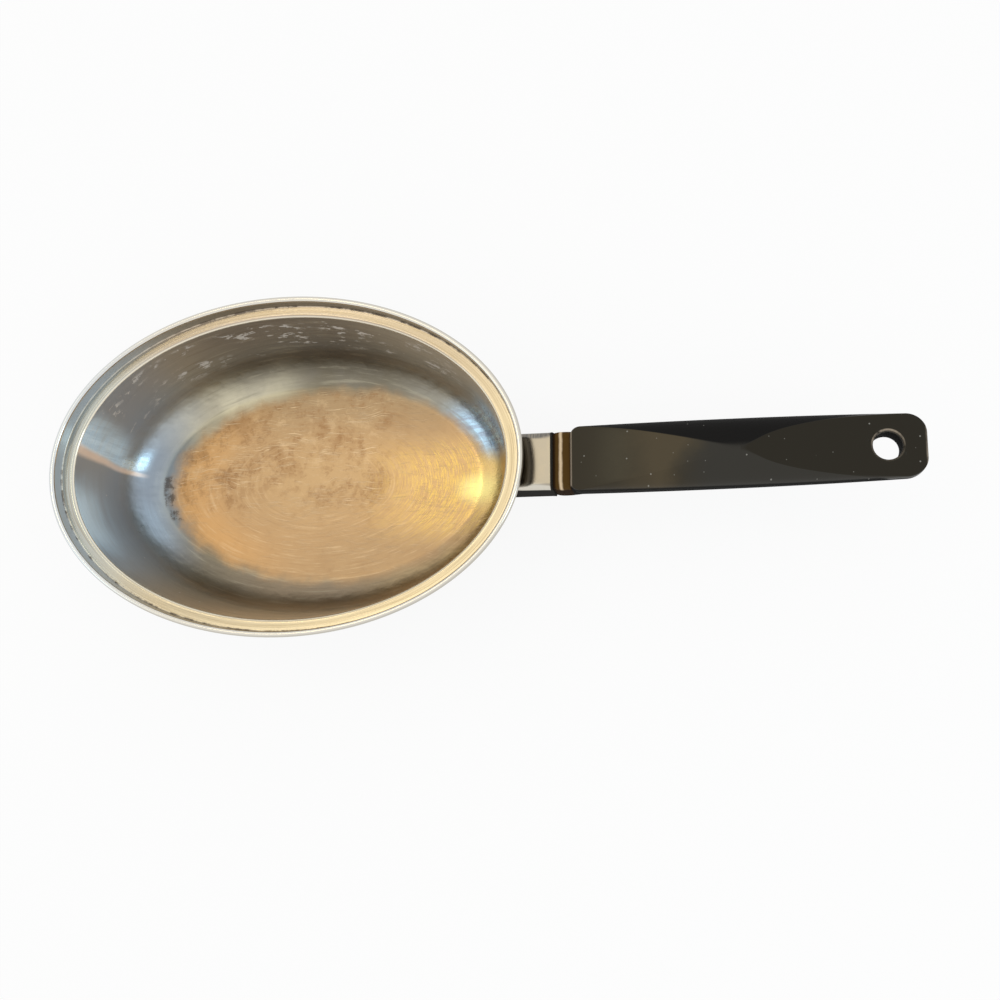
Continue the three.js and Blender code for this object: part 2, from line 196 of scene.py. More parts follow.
@labelled
class PanFinishes(bpy.types.PropertyGroup):
    """Colours of the finishes."""

    # Partly a painted reflection: the floor's warm tan stands in for warm light mirrored by the steel, over
    # its cooked-on tint.
    floor: colour("Warm tint of the cooked-on floor", (0.49, 0.315, 0.165))
    floor_middle: colour("Paler middle of the floor", (0.50, 0.335, 0.18))
    floor_edge: colour("Orange tint where the floor ends", (0.62, 0.36, 0.155))
    stain: colour("Brown stains on the floor", (0.28, 0.15, 0.068))
    worn: colour("Scoured spots and scratches of the floor", (0.80, 0.61, 0.39))
    # Partly a painted highlight: the brushed straw arcs stand in for a warm lamp's streaked reflection at the
    # handle's end.
    straw: colour("Brushed arcs at the handle's end of the floor", (0.67, 0.455, 0.135))
    # Painted highlight: the brightest golden spot, where the floor turns up under the handle.
    gold: colour("Brightest straw, under the handle", (0.97, 0.84, 0.32))
    # Painted highlight: the glow spread round the golden spot.
    flare: colour("Straw that spreads round the gold", (0.90, 0.63, 0.24))
    fillet: colour("Yellow-grey turn of the wall", (0.21, 0.185, 0.135))
    # Partly a painted reflection: the pale stretch of the far turn is scoured steel that also stands in for a
    # soft light mirrored there. The same colour lightens streaks on the wall.
    pale_fillet: colour("Scoured stretch of the turn", (0.60, 0.55, 0.41))
    # Painted reflection: the near side's brown turn stands in for the tan floor mirrored there.
    brown_fillet: colour("Turn of the wall on the near side", (0.31, 0.235, 0.155))
    # Painted shade: the dark band where the wall turns stands in for the dark opposite wall mirrored there.
    # The same colour also darkens streaks and smears, and a patch behind the handle outside.
    shade: colour("Dull band where the wall turns", (0.10, 0.086, 0.062))
    # Partly a painted reflection: the wall's dark grey stands in for darker surroundings mirrored by the
    # steel.
    wall: colour("Satin wall", (0.25, 0.23, 0.195))
    pale_wall: colour("Satin wall towards the ends", (0.42, 0.39, 0.315))
    # Painted reflection: this straw tint of the near wall stands in for the tan floor mirrored there.
    warm_wall: colour("Straw heat tint of the wall", (0.76, 0.60, 0.38))
    # Painted reflection: blue-grey of the wall at the left end, standing in for a cool window mirrored there.
    left_wall: colour("Blue-grey wall away from the handle", (0.34, 0.44, 0.57))
    # Painted reflection: the tan of the wall beside the handle stands in for the floor mirrored there.
    near_wall: colour("Tan wall beside the handle, near side", (0.55, 0.40, 0.21))
    far_wall: colour("Grey wall beside the handle, far side", (0.46, 0.44, 0.38))
    straw_wall: colour("Straw heat tint under the handle", (0.88, 0.61, 0.23))
    # Painted reflection: blue tint standing in for cool light mirrored at the left end and beside the handle.
    blued: colour("Blue heat tint", (0.50, 0.70, 0.86))
    # Painted reflection: the brightest blue, where the left wall mirrors a cool highlight.
    pale_blue: colour("Brightest blue tint, beside the pink streak", (0.69, 0.87, 1))
    # Partly a painted reflection: streaks that break up the painted blue glow beside the handle.
    lilac: colour("Scoured streaks in the blue beside the handle", (0.30, 0.30, 0.36))
    peach: colour("Pink streak in the blue tint", (1, 0.87, 0.78))
    ledge: colour("Lid ledge", (0.67, 0.565, 0.39))
    far_ledge: colour("Ledge on the far side", (0.49, 0.405, 0.325))
    # Painted reflection: cool blue-grey of the ledge at the left end.
    left_ledge: colour("Ledge away from the handle", (0.46, 0.51, 0.51))
    ledge_line: colour("Darker lines round the ledge", (0.36, 0.28, 0.16))
    # Painted highlight: a bright line along the rounded inner edge of the ledge.
    ledge_edge: colour("Polished inner edge of the ledge", (0.86, 0.80, 0.66))
    riser: colour("Satin riser of the ledge", (0.18, 0.15, 0.105))
    pale_riser: colour("Riser towards the left end", (0.45, 0.43, 0.37))
    # Painted reflection: cool blue-grey of the riser at the left end.
    left_riser: colour("Blue-grey riser at the left end", (0.47, 0.53, 0.58))
    lip: colour("Polished lip", (0.74, 0.70, 0.62))
    lip_outside: colour("Duller outside of the lip", (0.42, 0.40, 0.35))
    # Painted reflection: cool tint of the lip at the left end.
    left_lip: colour("Lip at the left end", (0.68, 0.74, 0.79))
    residue: colour("Dark residue in the corner of the ledge", (0.07, 0.05, 0.035))
    water: colour("Dried drops on the wall", (0.72, 0.70, 0.66))
    outside: colour("Polished outside", (0.56, 0.545, 0.52))
    draw_line: colour("Darker lines round the outside", (0.40, 0.385, 0.36))
    outside_straw: colour("Straw heat tint outside", (0.50, 0.40, 0.25))
    outside_brown: colour("Brown heat tint near the base", (0.33, 0.235, 0.14))
    outside_blue: colour("Blue heat tint round the base", (0.24, 0.27, 0.36))
    # Partly a painted reflection: the guard's beige stands in for warm light mirrored in its flat top.
    guard: colour("Polished flame guard", (0.39, 0.345, 0.275))
    guard_smear: colour("Warm smears on the flame guard", (0.5, 0.42, 0.3))
    # Painted highlight: the bright near edge of the guard.
    guard_bright: colour("Bright near edge of the flame guard", (0.80, 0.77, 0.68))
    # Painted reflection: a dark line along the guard's far top edge.
    guard_dark_edge: colour("Dulled far edge of the flame guard", (0.12, 0.117, 0.112))
    # Painted reflection: the flanks and end of the guard, dark where they mirror dark surroundings.
    guard_dark_reflection: colour("Sooty flanks of the flame guard", (0.03, 0.028, 0.026))
    phenolic: colour("Black moulding", (0.007, 0.0065, 0.006))
    nose: colour("Brown black of the nose", (0.022, 0.010, 0.003))
    # Painted reflection: the nose's brown stands in for warm light mirrored in the glossy moulding.
    heated: colour("Moulding browned by heat at the nose", (0.085, 0.044, 0.010))
    # Painted highlight: the pale crest of the nose's roll.
    nose_crest: colour("Crest of the nose, rubbed pale", (0.80, 0.62, 0.41))
    # Painted reflection: the lighter brown tone of the front facet and near flank, where the glossy moulding
    # mirrors warm light.
    faded: colour("Front of the grip, faded by heat", (0.043, 0.035, 0.022))
    # Painted reflection: grey tone of the grip behind the front.
    grey_grip: colour("Grip behind the faded front", (0.038, 0.035, 0.029))
    # Painted reflection: the brighter middle of the front facet, where a warm lamp is mirrored.
    rubbed: colour("Middle of the front facet, rubbed by the thumb", (0.080, 0.061, 0.035))
    # Painted reflection: olive tone of the flat rear facet.
    rear_facet: colour("Olive black of the rear facet", (0.023, 0.0195, 0.013))
    # Painted highlight: pale lines along the front edge, the hang hole's rim and the far end's edges.
    edge_highlight: colour("Pale wear along the edges", (0.31, 0.255, 0.195))
    dust: colour("Specks of dust on the handle", (0.7, 0.68, 0.62))
    bracket: colour("Rolled steel of the bracket", (0.42, 0.41, 0.40))
    mill_grain: colour("Darker grain of the bracket", (0.3, 0.29, 0.28))
    zinc: colour("Plating of the screw, nut and washer", (0.55, 0.56, 0.56))
    spangle: colour("Darker spangle of the plating", (0.42, 0.43, 0.42))


@labelled
class StudioSettings(bpy.types.PropertyGroup):
    """Camera and light."""

    camera_at: triple("Place of the camera", (0.1712, -0.0811, 0.4552), subtype="TRANSLATION")
    camera_turn: triple("Turn of the camera", (0.152132, 0.177345, 0.003398), subtype="EULER")
    lens: number("Focal length", 36, unit="CAMERA")
    sensor: number("Width of the sensor", 36, unit="CAMERA")
    fill: ratio("Strength of the even light all round", 0.85)
    lamp_aim: triple("Place that the lamps face", (0.03, 0, 0.02), subtype="TRANSLATION")
    lamp_distance: length("From that place to each lamp", 900)
    floor_reach: length("Half the width of the floor", 6000)
    floor_gap: length("Between the pan and the floor", 0.2)
    floor_tint: colour("Colour that takes the shadow", (0.9, 0.9, 0.9))
    floor_glow: ratio("Share of plain white over that colour", 0.88)


class FryingPan(bpy.types.PropertyGroup):
    """Everything that can be set."""

    body: PointerProperty(type=PanBodySizes)
    handle: PointerProperty(type=HandleSizes)
    finishes: PointerProperty(type=PanFinishes)
    studio: PointerProperty(type=StudioSettings)


class Value:
    """A node's output. Plain expressions on it add the Math nodes that they need."""

    def __init__(self, paint, socket):
        self.paint = paint
        self.socket = socket

    def math(self, operation, *inputs):
        return self.paint.node("ShaderNodeMath", {"operation": operation}, dict(enumerate(inputs)))

    def __add__(self, other):
        return self.math("ADD", self, other)

    def __sub__(self, other):
        return self.math("SUBTRACT", self, other)

    def __rsub__(self, other):
        return self.math("SUBTRACT", other, self)

    def __mul__(self, other):
        return self.math("MULTIPLY", self, other)

    def __truediv__(self, other):
        return self.math("DIVIDE", self, other)

    def __pow__(self, other):
        return self.math("POWER", self, other)

    def __abs__(self):
        return self.math("ABSOLUTE", self)

    __radd__ = __add__
    __rmul__ = __mul__

    def larger(self, *others):
        """The largest of this and the others."""
        made = self
        for other in others:
            made = self.math("MAXIMUM", made, other)
        return made

    def between(self, low, high):
        """0 below low, 1 above high, and smooth between them. It falls where low is the higher."""
        rise = {"interpolation_type": "SMOOTHSTEP"}
        if low < high:
            return self.paint.node("ShaderNodeMapRange", rise, {0: self, 1: low, 2: high})
        return self.paint.node("ShaderNodeMapRange", rise, {0: self, 1: high, 2: low, 3: 1, 4: 0})

    def band(self, middle, half, soft):
        """1 within half of the middle, with soft edges."""
        return abs(self - middle).between(half + soft, half)


class Nodes:
    """A node tree that is built from nothing."""

    def __init__(self, tree):
        self.tree = tree
        tree.nodes.clear()

    def node(self, kind, settings=(), inputs=(), output=0):
        """Adds a node of a type, with its settings and with values or other nodes' outputs as inputs."""
        made = self.tree.nodes.new(kind)
        for key, value in dict(settings).items():
            setattr(made, key, value)
        for key, value in dict(inputs).items():
            if isinstance(value, Value):
                self.tree.links.new(value.socket, made.inputs[key])
            else:
                made.inputs[key].default_value = value
        return Value(self, made.outputs[output]) if made.outputs else None

    def seen_directly(self):
        """1 for rays from the camera and for reflected and refracted ones, so that metal shows white too."""
        kinds = ("Is Camera Ray", "Is Glossy Ray", "Is Transmission Ray")
        camera, *others = (self.node("ShaderNodeLightPath", output=kind) for kind in kinds)
        return camera.larger(*others)


class Paint(Nodes):
    """A material that is built from the surface's own coordinates, in millimetres."""

    def __init__(self, name):
        self.material = bpy.data.materials.new(name)
        self.material.use_nodes = True
        super().__init__(self.material.node_tree)
        metres = self.node("ShaderNodeTexCoord", output="Object")
        self.place = self.node("ShaderNodeVectorMath", {"operation": "SCALE"}, {0: metres, 3: 1 / MM})
        self.x, self.y, self.z = self.parts(self.place)

    def parts(self, vector):
        return (self.node("ShaderNodeSeparateXYZ", (), {0: vector}, i) for i in range(3))

    def attribute(self, name):
        return self.node("ShaderNodeAttribute", {"attribute_name": name}, output="Fac")

    def mapped(self, stretch=(1, 1, 1), shift=(0, 0, 0), turn=0, place=None):
        """The coordinates, or a place, stretched, turned and shifted."""
        at = place or self.place
        return self.node("ShaderNodeMapping", (), {0: at, 1: shift, 2: (0, 0, turn), 3: stretch})

    def vector(self, *parts):
        return self.node("ShaderNodeCombineXYZ", (), dict(enumerate(parts)))

    def noise(self, size, detail=2, roughness=0.5, at=None, shift=(0, 0, 0)):
        """Noise whose features are about size millimetres across."""
        look = {"Scale": 1 / size, "Detail": detail, "Roughness": roughness}
        return self.node("ShaderNodeTexNoise", (), {"Vector": at or self.mapped(shift=shift), **look})

    def specks(self, size, radius, at=None, space="3D"):
        """Small round dots, one in each cell of about size millimetres, for a fifth of the cells or so."""
        cells = {"Vector": at or self.place, "Scale": 1 / size}
        near = self.node("ShaderNodeTexVoronoi", {"voronoi_dimensions": space}, cells, "Distance")
        chance = self.node("ShaderNodeTexVoronoi", {"voronoi_dimensions": space}, cells, "Color")
        pick = self.node("ShaderNodeSeparateColor", (), {0: chance}, 0)
        return near.between(radius / size, 0.4 * radius / size) * pick.between(0.76, 0.8)

    def mix(self, factor, under, over):
        """One colour over another. Either is a colour or a node's output."""
        tints = [tint if isinstance(tint, Value) else (*tint, 1) for tint in (under, over)]
        return self.node("ShaderNodeMix", {"data_type": "RGBA"}, {0: factor, 6: tints[0], 7: tints[1]}, 2)

    def coats(self, tint, *coats):
        """Colours laid over a first one in turn, each with how much of it shows."""
        for cover, over in coats:
            tint = self.mix(cover, tint, over)
        return tint

    def bump(self, height, depth, under=None):
        """Relief of a depth in millimetres."""
        inputs = {"Strength": 1, "Distance": depth * MM, "Height": height}
        if under:
            inputs["Normal"] = under
        return self.node("ShaderNodeBump", (), inputs)

    def finish(self, **inputs):
        """Ends the material with the shader's inputs, whose spaces are written as underscores."""
        named = {key.replace("_", " "): value for key, value in inputs.items()}
        shader = self.node("ShaderNodeBsdfPrincipled", (), named)
        self.node("ShaderNodeOutputMaterial", (), {0: shader})
        return self.material


def verts_in(geometry):
    """The vertices among what a mesh operation has made."""
    return [item for item in geometry if isinstance(item, bmesh.types.BMVert)]


class Pen:
    """Draws a half section as a chain of edges in the XZ plane, where X is the radius."""

    def __init__(self, bm, x, z):
        self.bm = bm
        self.tip = bm.verts.new((x, 0, z))
        self.length = 0

    def line(self, x, z):
        made = bmesh.ops.extrude_vert_indiv(self.bm, verts=[self.tip])["verts"][0]
        made.co = (x, 0, z)
        self.length += (made.co - self.tip.co).length
        self.tip = made
        return self

    def turn(self, x, z, turned, steps):
        """An arc about a point, anticlockwise where the angle is positive."""
        centre = Vector((x, 0, z))
        self.length += abs(turned) * (self.tip.co - centre).length
        arc = {"cent": centre, "axis": (0, -1, 0), "angle": turned, "steps": steps}
        self.tip = verts_in(bmesh.ops.spin(self.bm, geom=[self.tip], **arc)["geom_last"])[0]
        return self


def spin_round(bm, steps):
    """Turns what has been drawn about the Z axis and closes it."""
    drawn = bm.verts[:] + bm.edges[:]
    whole = {"cent": (0, 0, 0), "axis": (0, 0, 1), "angle": 2 * math.pi, "steps": steps}
    bmesh.ops.spin(bm, geom=drawn, use_merge=True, **whole)
    bmesh.ops.remove_doubles(bm, verts=bm.verts, dist=WELD)
    bmesh.ops.recalc_face_normals(bm, faces=bm.faces)


def object_from(name, bm):
    mesh = bpy.data.meshes.new(name)
    bm.to_mesh(mesh)
    bm.free()
    made = bpy.data.objects.new(name, mesh)
    bpy.context.scene.collection.objects.link(made)
    return made


def settle(piece, node, slot, *materials):
    """Shades a finished piece and sets it on the frame in place of its CAD node."""
    piece.data.shade_smooth()
    for material in materials:
        piece.data.materials.append(material)
    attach(piece, "root")
    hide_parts(node)


def carve(bm, cutter):
    """Takes one solid out of another."""
    solid, tool = object_from("solid", bm), object_from("tool", cutter)
    cut = solid.modifiers.new("cut", "BOOLEAN")
    cut.operation, cut.solver, cut.object = "DIFFERENCE", "EXACT", tool
    shown = solid.evaluated_get(bpy.context.evaluated_depsgraph_get())
    carved = bmesh.new()
    carved.from_mesh(shown.to_mesh())
    shown.to_mesh_clear()
    for used in (solid, tool):
        mesh = used.data
        bpy.data.objects.remove(used)
        bpy.data.meshes.remove(mesh)
    return carved


def body_section(body):
    """Places along the half section that several pieces need."""
    half_sheet, draft = body.sheet / 2, body.wall_draft
    curl = body.lip_radius - half_sheet
    bend = body.ledge_bend + half_sheet
    lip = Vector((body.rim_width / 2 - body.lip_radius, 0, body.rim_height - body.lip_radius))
    riser = lip.x - curl
    ledge = body.rim_height - body.ledge_drop
    inner = Vector((riser + bend - body.ledge_width, 0, ledge - half_sheet - bend))
    outer = Vector((riser - bend, 0, ledge - half_sheet + bend))
    fillet = body.floor_fillet + half_sheet
    wall_top = Vector((inner.x - bend * math.cos(draft), 0, inner.z + bend * math.sin(draft)))
    wall_foot = half_sheet + fillet * (1 - math.sin(draft))
    run = (wall_top.z - wall_foot) * math.tan(draft)
    return {
        "lip": lip,
        "ledge": ledge,
        "inner": inner,
        "outer": outer,
        "wall_top": wall_top,
        "floor_edge": wall_top.x - run - fillet * math.cos(draft),
        "spread": (body.rim_length - body.rim_width) / 2,
    }


def draw_body(bm, body):
    """Draws the cook's side of the sheet, from the middle of the floor out to the edge of the lip. Gives
    the distances along it, in millimetres, where each zone ends."""
    at = body_section(body)
    lean = QUARTER - body.wall_draft
    top = body.ledge_bend + body.sheet
    inner, outer, lip = at["inner"], at["outer"], at["lip"]
    marks = {}
    pen = Pen(bm, 0, body.sheet).line(at["floor_edge"], body.sheet)
    marks["floor"] = pen.length
    pen.turn(at["floor_edge"], body.sheet + body.floor_fillet, lean, FILLET_STEPS)
    marks["fillet"] = pen.length
    pen.line(inner.x - top * math.cos(body.wall_draft), inner.z + top * math.sin(body.wall_draft))
    marks["wall"] = pen.length
    pen.turn(inner.x, inner.z, -lean, BEND_STEPS).line(outer.x, at["ledge"])
    marks["ledge"] = pen.length
    pen.turn(outer.x, outer.z, QUARTER, CORNER_STEPS)
    marks["corner"] = pen.length
    pen.line(lip.x - body.lip_radius, lip.z)
    marks["riser"] = pen.length
    pen.turn(lip.x, lip.z, -body.lip_turn, LIP_STEPS)
    return {name: value / MM for name, value in marks.items()}


def mark_along(bm):
    """Marks each point of a drawn half section with its distance from the first, in millimetres."""
    along = bm.verts.layers.float.new("along")
    bm.verts.ensure_lookup_table()
    vert, walked, before = bm.verts[0], 0, None
    while True:
        vert[along] = walked
        step = next((edge for edge in vert.link_edges if edge is not before), None)
        if step is None:
            return along
        walked += step.calc_length() / MM
        vert, before = step.other_vert(vert), step


class FRYINGPAN_OT_body(bpy.types.Operator):
    """Draws the body's half section, turns it into an oval and gives the sheet its thickness"""

    bl_idname = "fryingpan.body"
    bl_label = "Pan body"

    def execute(self, context):
        settings = context.scene.frying_pan
        body, finishes = settings.body, settings.finishes
        bm = bmesh.new()
        marks = draw_body(bm, body)
        along = mark_along(bm)
        spin_round(bm, ROUND_STEPS)
        at = body_section(body)
        lap = Matrix.Diagonal((-body.end_lap, -body.side_lap))
        inward = {
            vert: lap @ vert.co.xy.normalized()
            for vert in bm.verts
            if marks["fillet"] < vert[along] < marks["ledge"] - MARK_SLACK
        }
        for vert in bm.verts:
            vert.co.x *= 1 + at["spread"] / max(vert.co.xy.length, at["floor_edge"])
        lowest = min(bm.faces, key=lambda face: face.calc_center_median().z)
        if lowest.normal.z < 0:
            bmesh.ops.reverse_faces(bm, faces=bm.faces)
        bm.normal_update()
        cooking_side = set(bm.faces)
        bmesh.ops.solidify(bm, geom=bm.faces[:], thickness=body.sheet)
        foot = body.sheet + body.floor_fillet * (1 - math.sin(body.wall_draft))
        for vert, step in inward.items():
            vert.co += step.to_3d() * (vert.co.z - foot) / (at["ledge"] - foot)
        for face in bm.faces:
            face.material_index = 0 if face in cooking_side else 1
        piece = object_from("pan_body_smooth", bm)
        settle(piece, "pan_body", "pan_steel", cooking_steel(finishes, marks), outside_steel(finishes))
        return {"FINISHED"}


def resampled(points, count):
    """A polyline as count points at equal distances, without its last point."""
    steps = [(b - a).length for a, b in zip(points, points[1:])]
    total, made, walked, i = sum(steps), [], 0, 0
    for k in range(count):
        target = total * k / count
        while i < len(steps) - 1 and walked + steps[i] < target:
            walked += steps[i]
            i += 1
        share = (target - walked) / steps[i] if steps[i] else 0
        made.append(points[i].lerp(points[i + 1], min(share, 1)))
    return made


LOW_POINTS, SIDE_POINTS, EDGE_POINTS, FLAT_POINTS = 26, 16, 7, 8
CURVE_STEPS, ARC_STEPS, ROLL_STEPS, NOSE_STEPS = 60, 12, 10, 8
FRONT_STEPS, SHOULDER_STEPS, FACET_STEPS, TAIL_STEPS, END_STEPS = 8, 14, 48, 16, 8
GUARD_END_STEPS = 5

# Plain rings of the flame guard, from the nose face. The first is drawn up to the pan's wall.
GUARD_PLACES = (-30 * MM, -15 * MM, -10 * MM)
# Rounds of that drawing up.
WALL_TRIES = 4
# Highest section of the grip, as a share of its crown, and the half width of the facet there.
BELOW_CROWN = 0.999999
LEAST_FACET = 0.03 * MM
# Most of the facet's height that the rounding of its edges takes.
EDGE_SHARE = 0.3
# A larger ring is looked for out to this many times a point's distance.
SEARCH_REACH = 4


def shares(steps, first=0):
    """Shares from 0 to 1 in equal steps."""
    return [k / steps for k in range(first, steps + 1)]


def fallen(radius, past):
    """How far a round edge has fallen away at a distance past the start of its arc."""
    return radius - math.sqrt(max(radius**2 - past**2, 0))


def whole_ring(half):
    """A ring from its right half, which runs from the middle of the underside to the middle of the top."""
    left = [Vector((-p.x, p.y)) for p in reversed(half[1:-1])]
    return half + left


def nose_ring(handle, grown):
    """The nose's rounded section, grown all round."""
    inset = max(handle.nose_corner, -grown)
    radius = inset + grown
    low, high = -handle.nose_depth, handle.nose_height - handle.nose_depth
    top, foot = handle.nose_width / 2 - inset, handle.nose_foot / 2 - inset

    def corner(x, y, start):
        turns = [start + QUARTER * t for t in shares(ARC_STEPS)]
        return [Vector((x + radius * math.cos(t), y + radius * math.sin(t))) for t in turns]

    under = corner(foot, low + inset, -QUARTER)
    over = corner(top, high - inset, 0)
    middle = under[-1].lerp(over[0], 0.5)
    half = resampled([Vector((0, low - grown)), *under, middle], LOW_POINTS)
    half += resampled([middle, over[0]], SIDE_POINTS)
    half += resampled(over, EDGE_POINTS)
    end = Vector((0, high + grown))
    half += resampled([over[-1], end], FLAT_POINTS)
    return whole_ring([*half, end])


def grip_half_width(handle, u):
    """Half the grip's plan: shoulder, side that bows out, and end corner."""
    front, rear = handle.nose_length + handle.shoulder_radius, handle.reach - handle.end_radius
    near, far = handle.front_width / 2, handle.rear_width / 2
    if u < front:
        return near - fallen(handle.shoulder_radius, front - u)
    if u > rear:
        return far - fallen(handle.end_radius, u - rear)
    a, b, c = front - 2 * handle.side_turn + rear, 2 * (handle.side_turn - front), front - u
    t = (math.sqrt(b * b - 4 * a * c) - b) / (2 * a) if abs(a) > WELD else -c / b
    return (1 - t * t) * near + t * t * far + 2 * t * (1 - t) * handle.side_bow


def rear_fall(handle):
    """Slope of the rear facet, which starts half a roll behind the crest."""
    return (handle.crown - handle.rear_facet) / (handle.reach - handle.crest_at - handle.crest_roll / 2)


def facet_radius(handle):
    """Radius of the front facet's arc."""
    run, drop = handle.crest_at - handle.nose_length, handle.crown - handle.front_facet
    return (run**2 + drop**2) / (2 * drop)


def facet_height(handle, u):
    """The top of the grip in side view: a long arc that is level at the crest, a short roll, then a plane."""
    if u > handle.crest_at:
        past = u - handle.crest_at
        rolled = min(past, handle.crest_roll)
        return handle.crown - rear_fall(handle) * (rolled**2 / (2 * handle.crest_roll) + past - rolled)
    return handle.crown - fallen(facet_radius(handle), handle.crest_at - u)


def along_grip(handle, u, front, rear):
    """A value that changes evenly from the front of the grip to its far end."""
    share = (u - handle.nose_length) / (handle.reach - handle.nose_length)
    return front + (rear - front) * share


def grip_ring(handle, u, ease):
    """One section of the grip: a squarish half below the widest line, an ellipse above it, and the
    facet, whose edges are rounded. The ends' own edges are eased by drawing the section in."""
    depth = along_grip(handle, u, handle.front_depth, handle.rear_depth) - ease
    squareness = 2 / along_grip(handle, u, handle.front_square, handle.rear_square)
    half_width, crown = grip_half_width(handle, u), handle.crown
    top = min(facet_height(handle, u), crown * BELOW_CROWN) - ease
    edge = max(half_width * math.sqrt(1 - (top / crown) ** 2), LEAST_FACET)
    turn = math.asin(top / crown)

    low, side = [], []
    for share in shares(CURVE_STEPS):
        t = QUARTER * share
        low.append(Vector((half_width * math.sin(t) ** squareness, -depth * math.cos(t) ** squareness)))
        side.append(Vector((half_width * math.cos(turn * share), crown * math.sin(turn * share))))
    corner = Vector((edge, top))
    side[-1] = corner
    slope = Vector((-half_width * math.sin(turn), crown * math.cos(turn))).normalized()
    bend = slope.angle(Vector((-1, 0)))
    back = min(handle.edge_round * math.tan(bend / 2), edge / 2, EDGE_SHARE * top)
    while len(side) > 2 and (side[-1] - corner).length < back:
        side.pop()
    to_corner = corner - side[-1]
    start = side[-1] + to_corner.normalized() * (to_corner.length - back)
    after = corner + Vector((-back, 0))
    rounded = [start.lerp(corner, t).lerp(corner.lerp(after, t), t) for t in shares(EDGE_POINTS)]
    end = Vector((0, top))
    half = resampled(low, LOW_POINTS) + resampled([*side, start], SIDE_POINTS)
    half += rounded[:-1] + resampled([after, end], FLAT_POINTS)
    return whole_ring([*half, end])


def run_on(handle, u):
    """How far the nose's section has shrunk at a place past the top of its roll."""
    share = (u - handle.nose_roll_at) / (handle.nose_length + handle.run_on - handle.nose_roll_at)
    return -handle.run_on_fall * share**2


def pushed_out(ring, other, middle):
    """A ring whose points go out from the middle to another ring wherever that one is larger."""
    made = []
    for point in ring:
        far = middle + (point - middle) * SEARCH_REACH
        hits = (intersect_line_line_2d(point, far, a, b) for a, b in zip(other, other[1:] + other[:1]))
        made.append(next((hit for hit in hits if hit), point))
    return made


def handle_stations(handle):
    """Each place along the handle with its ring: spigot, nose and grip."""
    spigot = nose_ring(handle, -handle.guard_wall - handle.spigot_gap)
    stations = [(-handle.spigot, spigot), (0, spigot)]
    for t in shares(ROLL_STEPS):
        u = handle.nose_roll_at * (1 - math.cos(QUARTER * t))
        stations.append((u, nose_ring(handle, -handle.nose_roll * (1 - math.sin(QUARTER * t)))))
    for t in shares(NOSE_STEPS, 1):
        u = handle.nose_roll_at + (handle.nose_length - handle.nose_roll_at) * t
        stations.append((u, nose_ring(handle, run_on(handle, u))))

    first, last = handle.nose_length + handle.grip_start, handle.reach - handle.end_round
    crest, tail = handle.crest_at, handle.reach - handle.end_radius
    places = [first + handle.front_round * (1 - math.cos(QUARTER * t)) for t in shares(FRONT_STEPS)]
    places += [places[-1] + handle.shoulder_radius * t for t in shares(SHOULDER_STEPS, 1)]
    start = places[-1]
    places += [start + (crest - start) * math.sin(QUARTER * t) for t in shares(FACET_STEPS, 1)[:-1]]
    places += [crest + (tail - crest) * t**2 for t in shares(FACET_STEPS)]
    places += [tail + (last - tail) * t for t in shares(TAIL_STEPS, 1)]
    places += [last + handle.end_round * math.sin(QUARTER * t) for t in shares(END_STEPS, 1)]
    middle = Vector((0, -handle.nose_height / 2))
    for u in places:
        ease = fallen(handle.front_round, max(first + handle.front_round - u, 0))
        ease += fallen(handle.end_round, max(u - last, 0))
        ring = grip_ring(handle, u, ease)
        if u < handle.nose_length + handle.run_on:
            ring = pushed_out(ring, nose_ring(handle, run_on(handle, u)), middle)
        stations.append((u, ring))
    return stations


def loft(bm, stations):
    """Extrudes a ring from station to station and gives the edges of both ends."""
    count = len(stations[0][1])
    ring = bmesh.ops.create_circle(bm, segments=count, radius=1)["verts"]

    def edges():
        return [bm.edges.get((ring[k - 1], ring[k])) for k in range(count)]

    first = edges()
    for i, (u, places) in enumerate(stations):
        if i:
            fresh = set(verts_in(bmesh.ops.extrude_edge_only(bm, edges=edges())["geom"]))
            ring = [next(e.other_vert(v) for e in v.link_edges if e.other_vert(v) in fresh) for v in ring]
        for vert, place in zip(ring, places):
            vert.co = (u, place.x, place.y)
    return first, edges()


def handle_matrix(handle):
    turn = Matrix.Rotation(-handle.tilt, 4, "Y")
    return Matrix.Translation((handle.nose_x, 0, handle.nose_z)) @ turn


def hang_hole(handle):
    """The hang hole's bore, with both edges rounded."""
    at = handle.reach - handle.hole_from_end
    low, high = -along_grip(handle, at, handle.front_depth, handle.rear_depth), facet_height(handle, at)
    bore, ease = handle.hole / 2, handle.hole_round
    flare = bore + ease
    bm = bmesh.new()
    pen = Pen(bm, 0, low - ease).line(flare, low - ease).line(flare, low)
    pen.turn(flare, low + ease, -QUARTER, HOLE_EDGE_STEPS).line(bore, high - ease)
    pen.turn(flare, high - ease, -QUARTER, HOLE_EDGE_STEPS)
    pen.line(flare, high + 2 * ease).line(0, high + 2 * ease)
    spin_round(bm, HOLE_STEPS)
    for vert in bm.verts:
        if vert.co.z > high - 1.5 * ease:
            vert.co.z -= rear_fall(handle) * vert.co.x
    bmesh.ops.translate(bm, verts=bm.verts, vec=(at, 0, 0))
    return bm


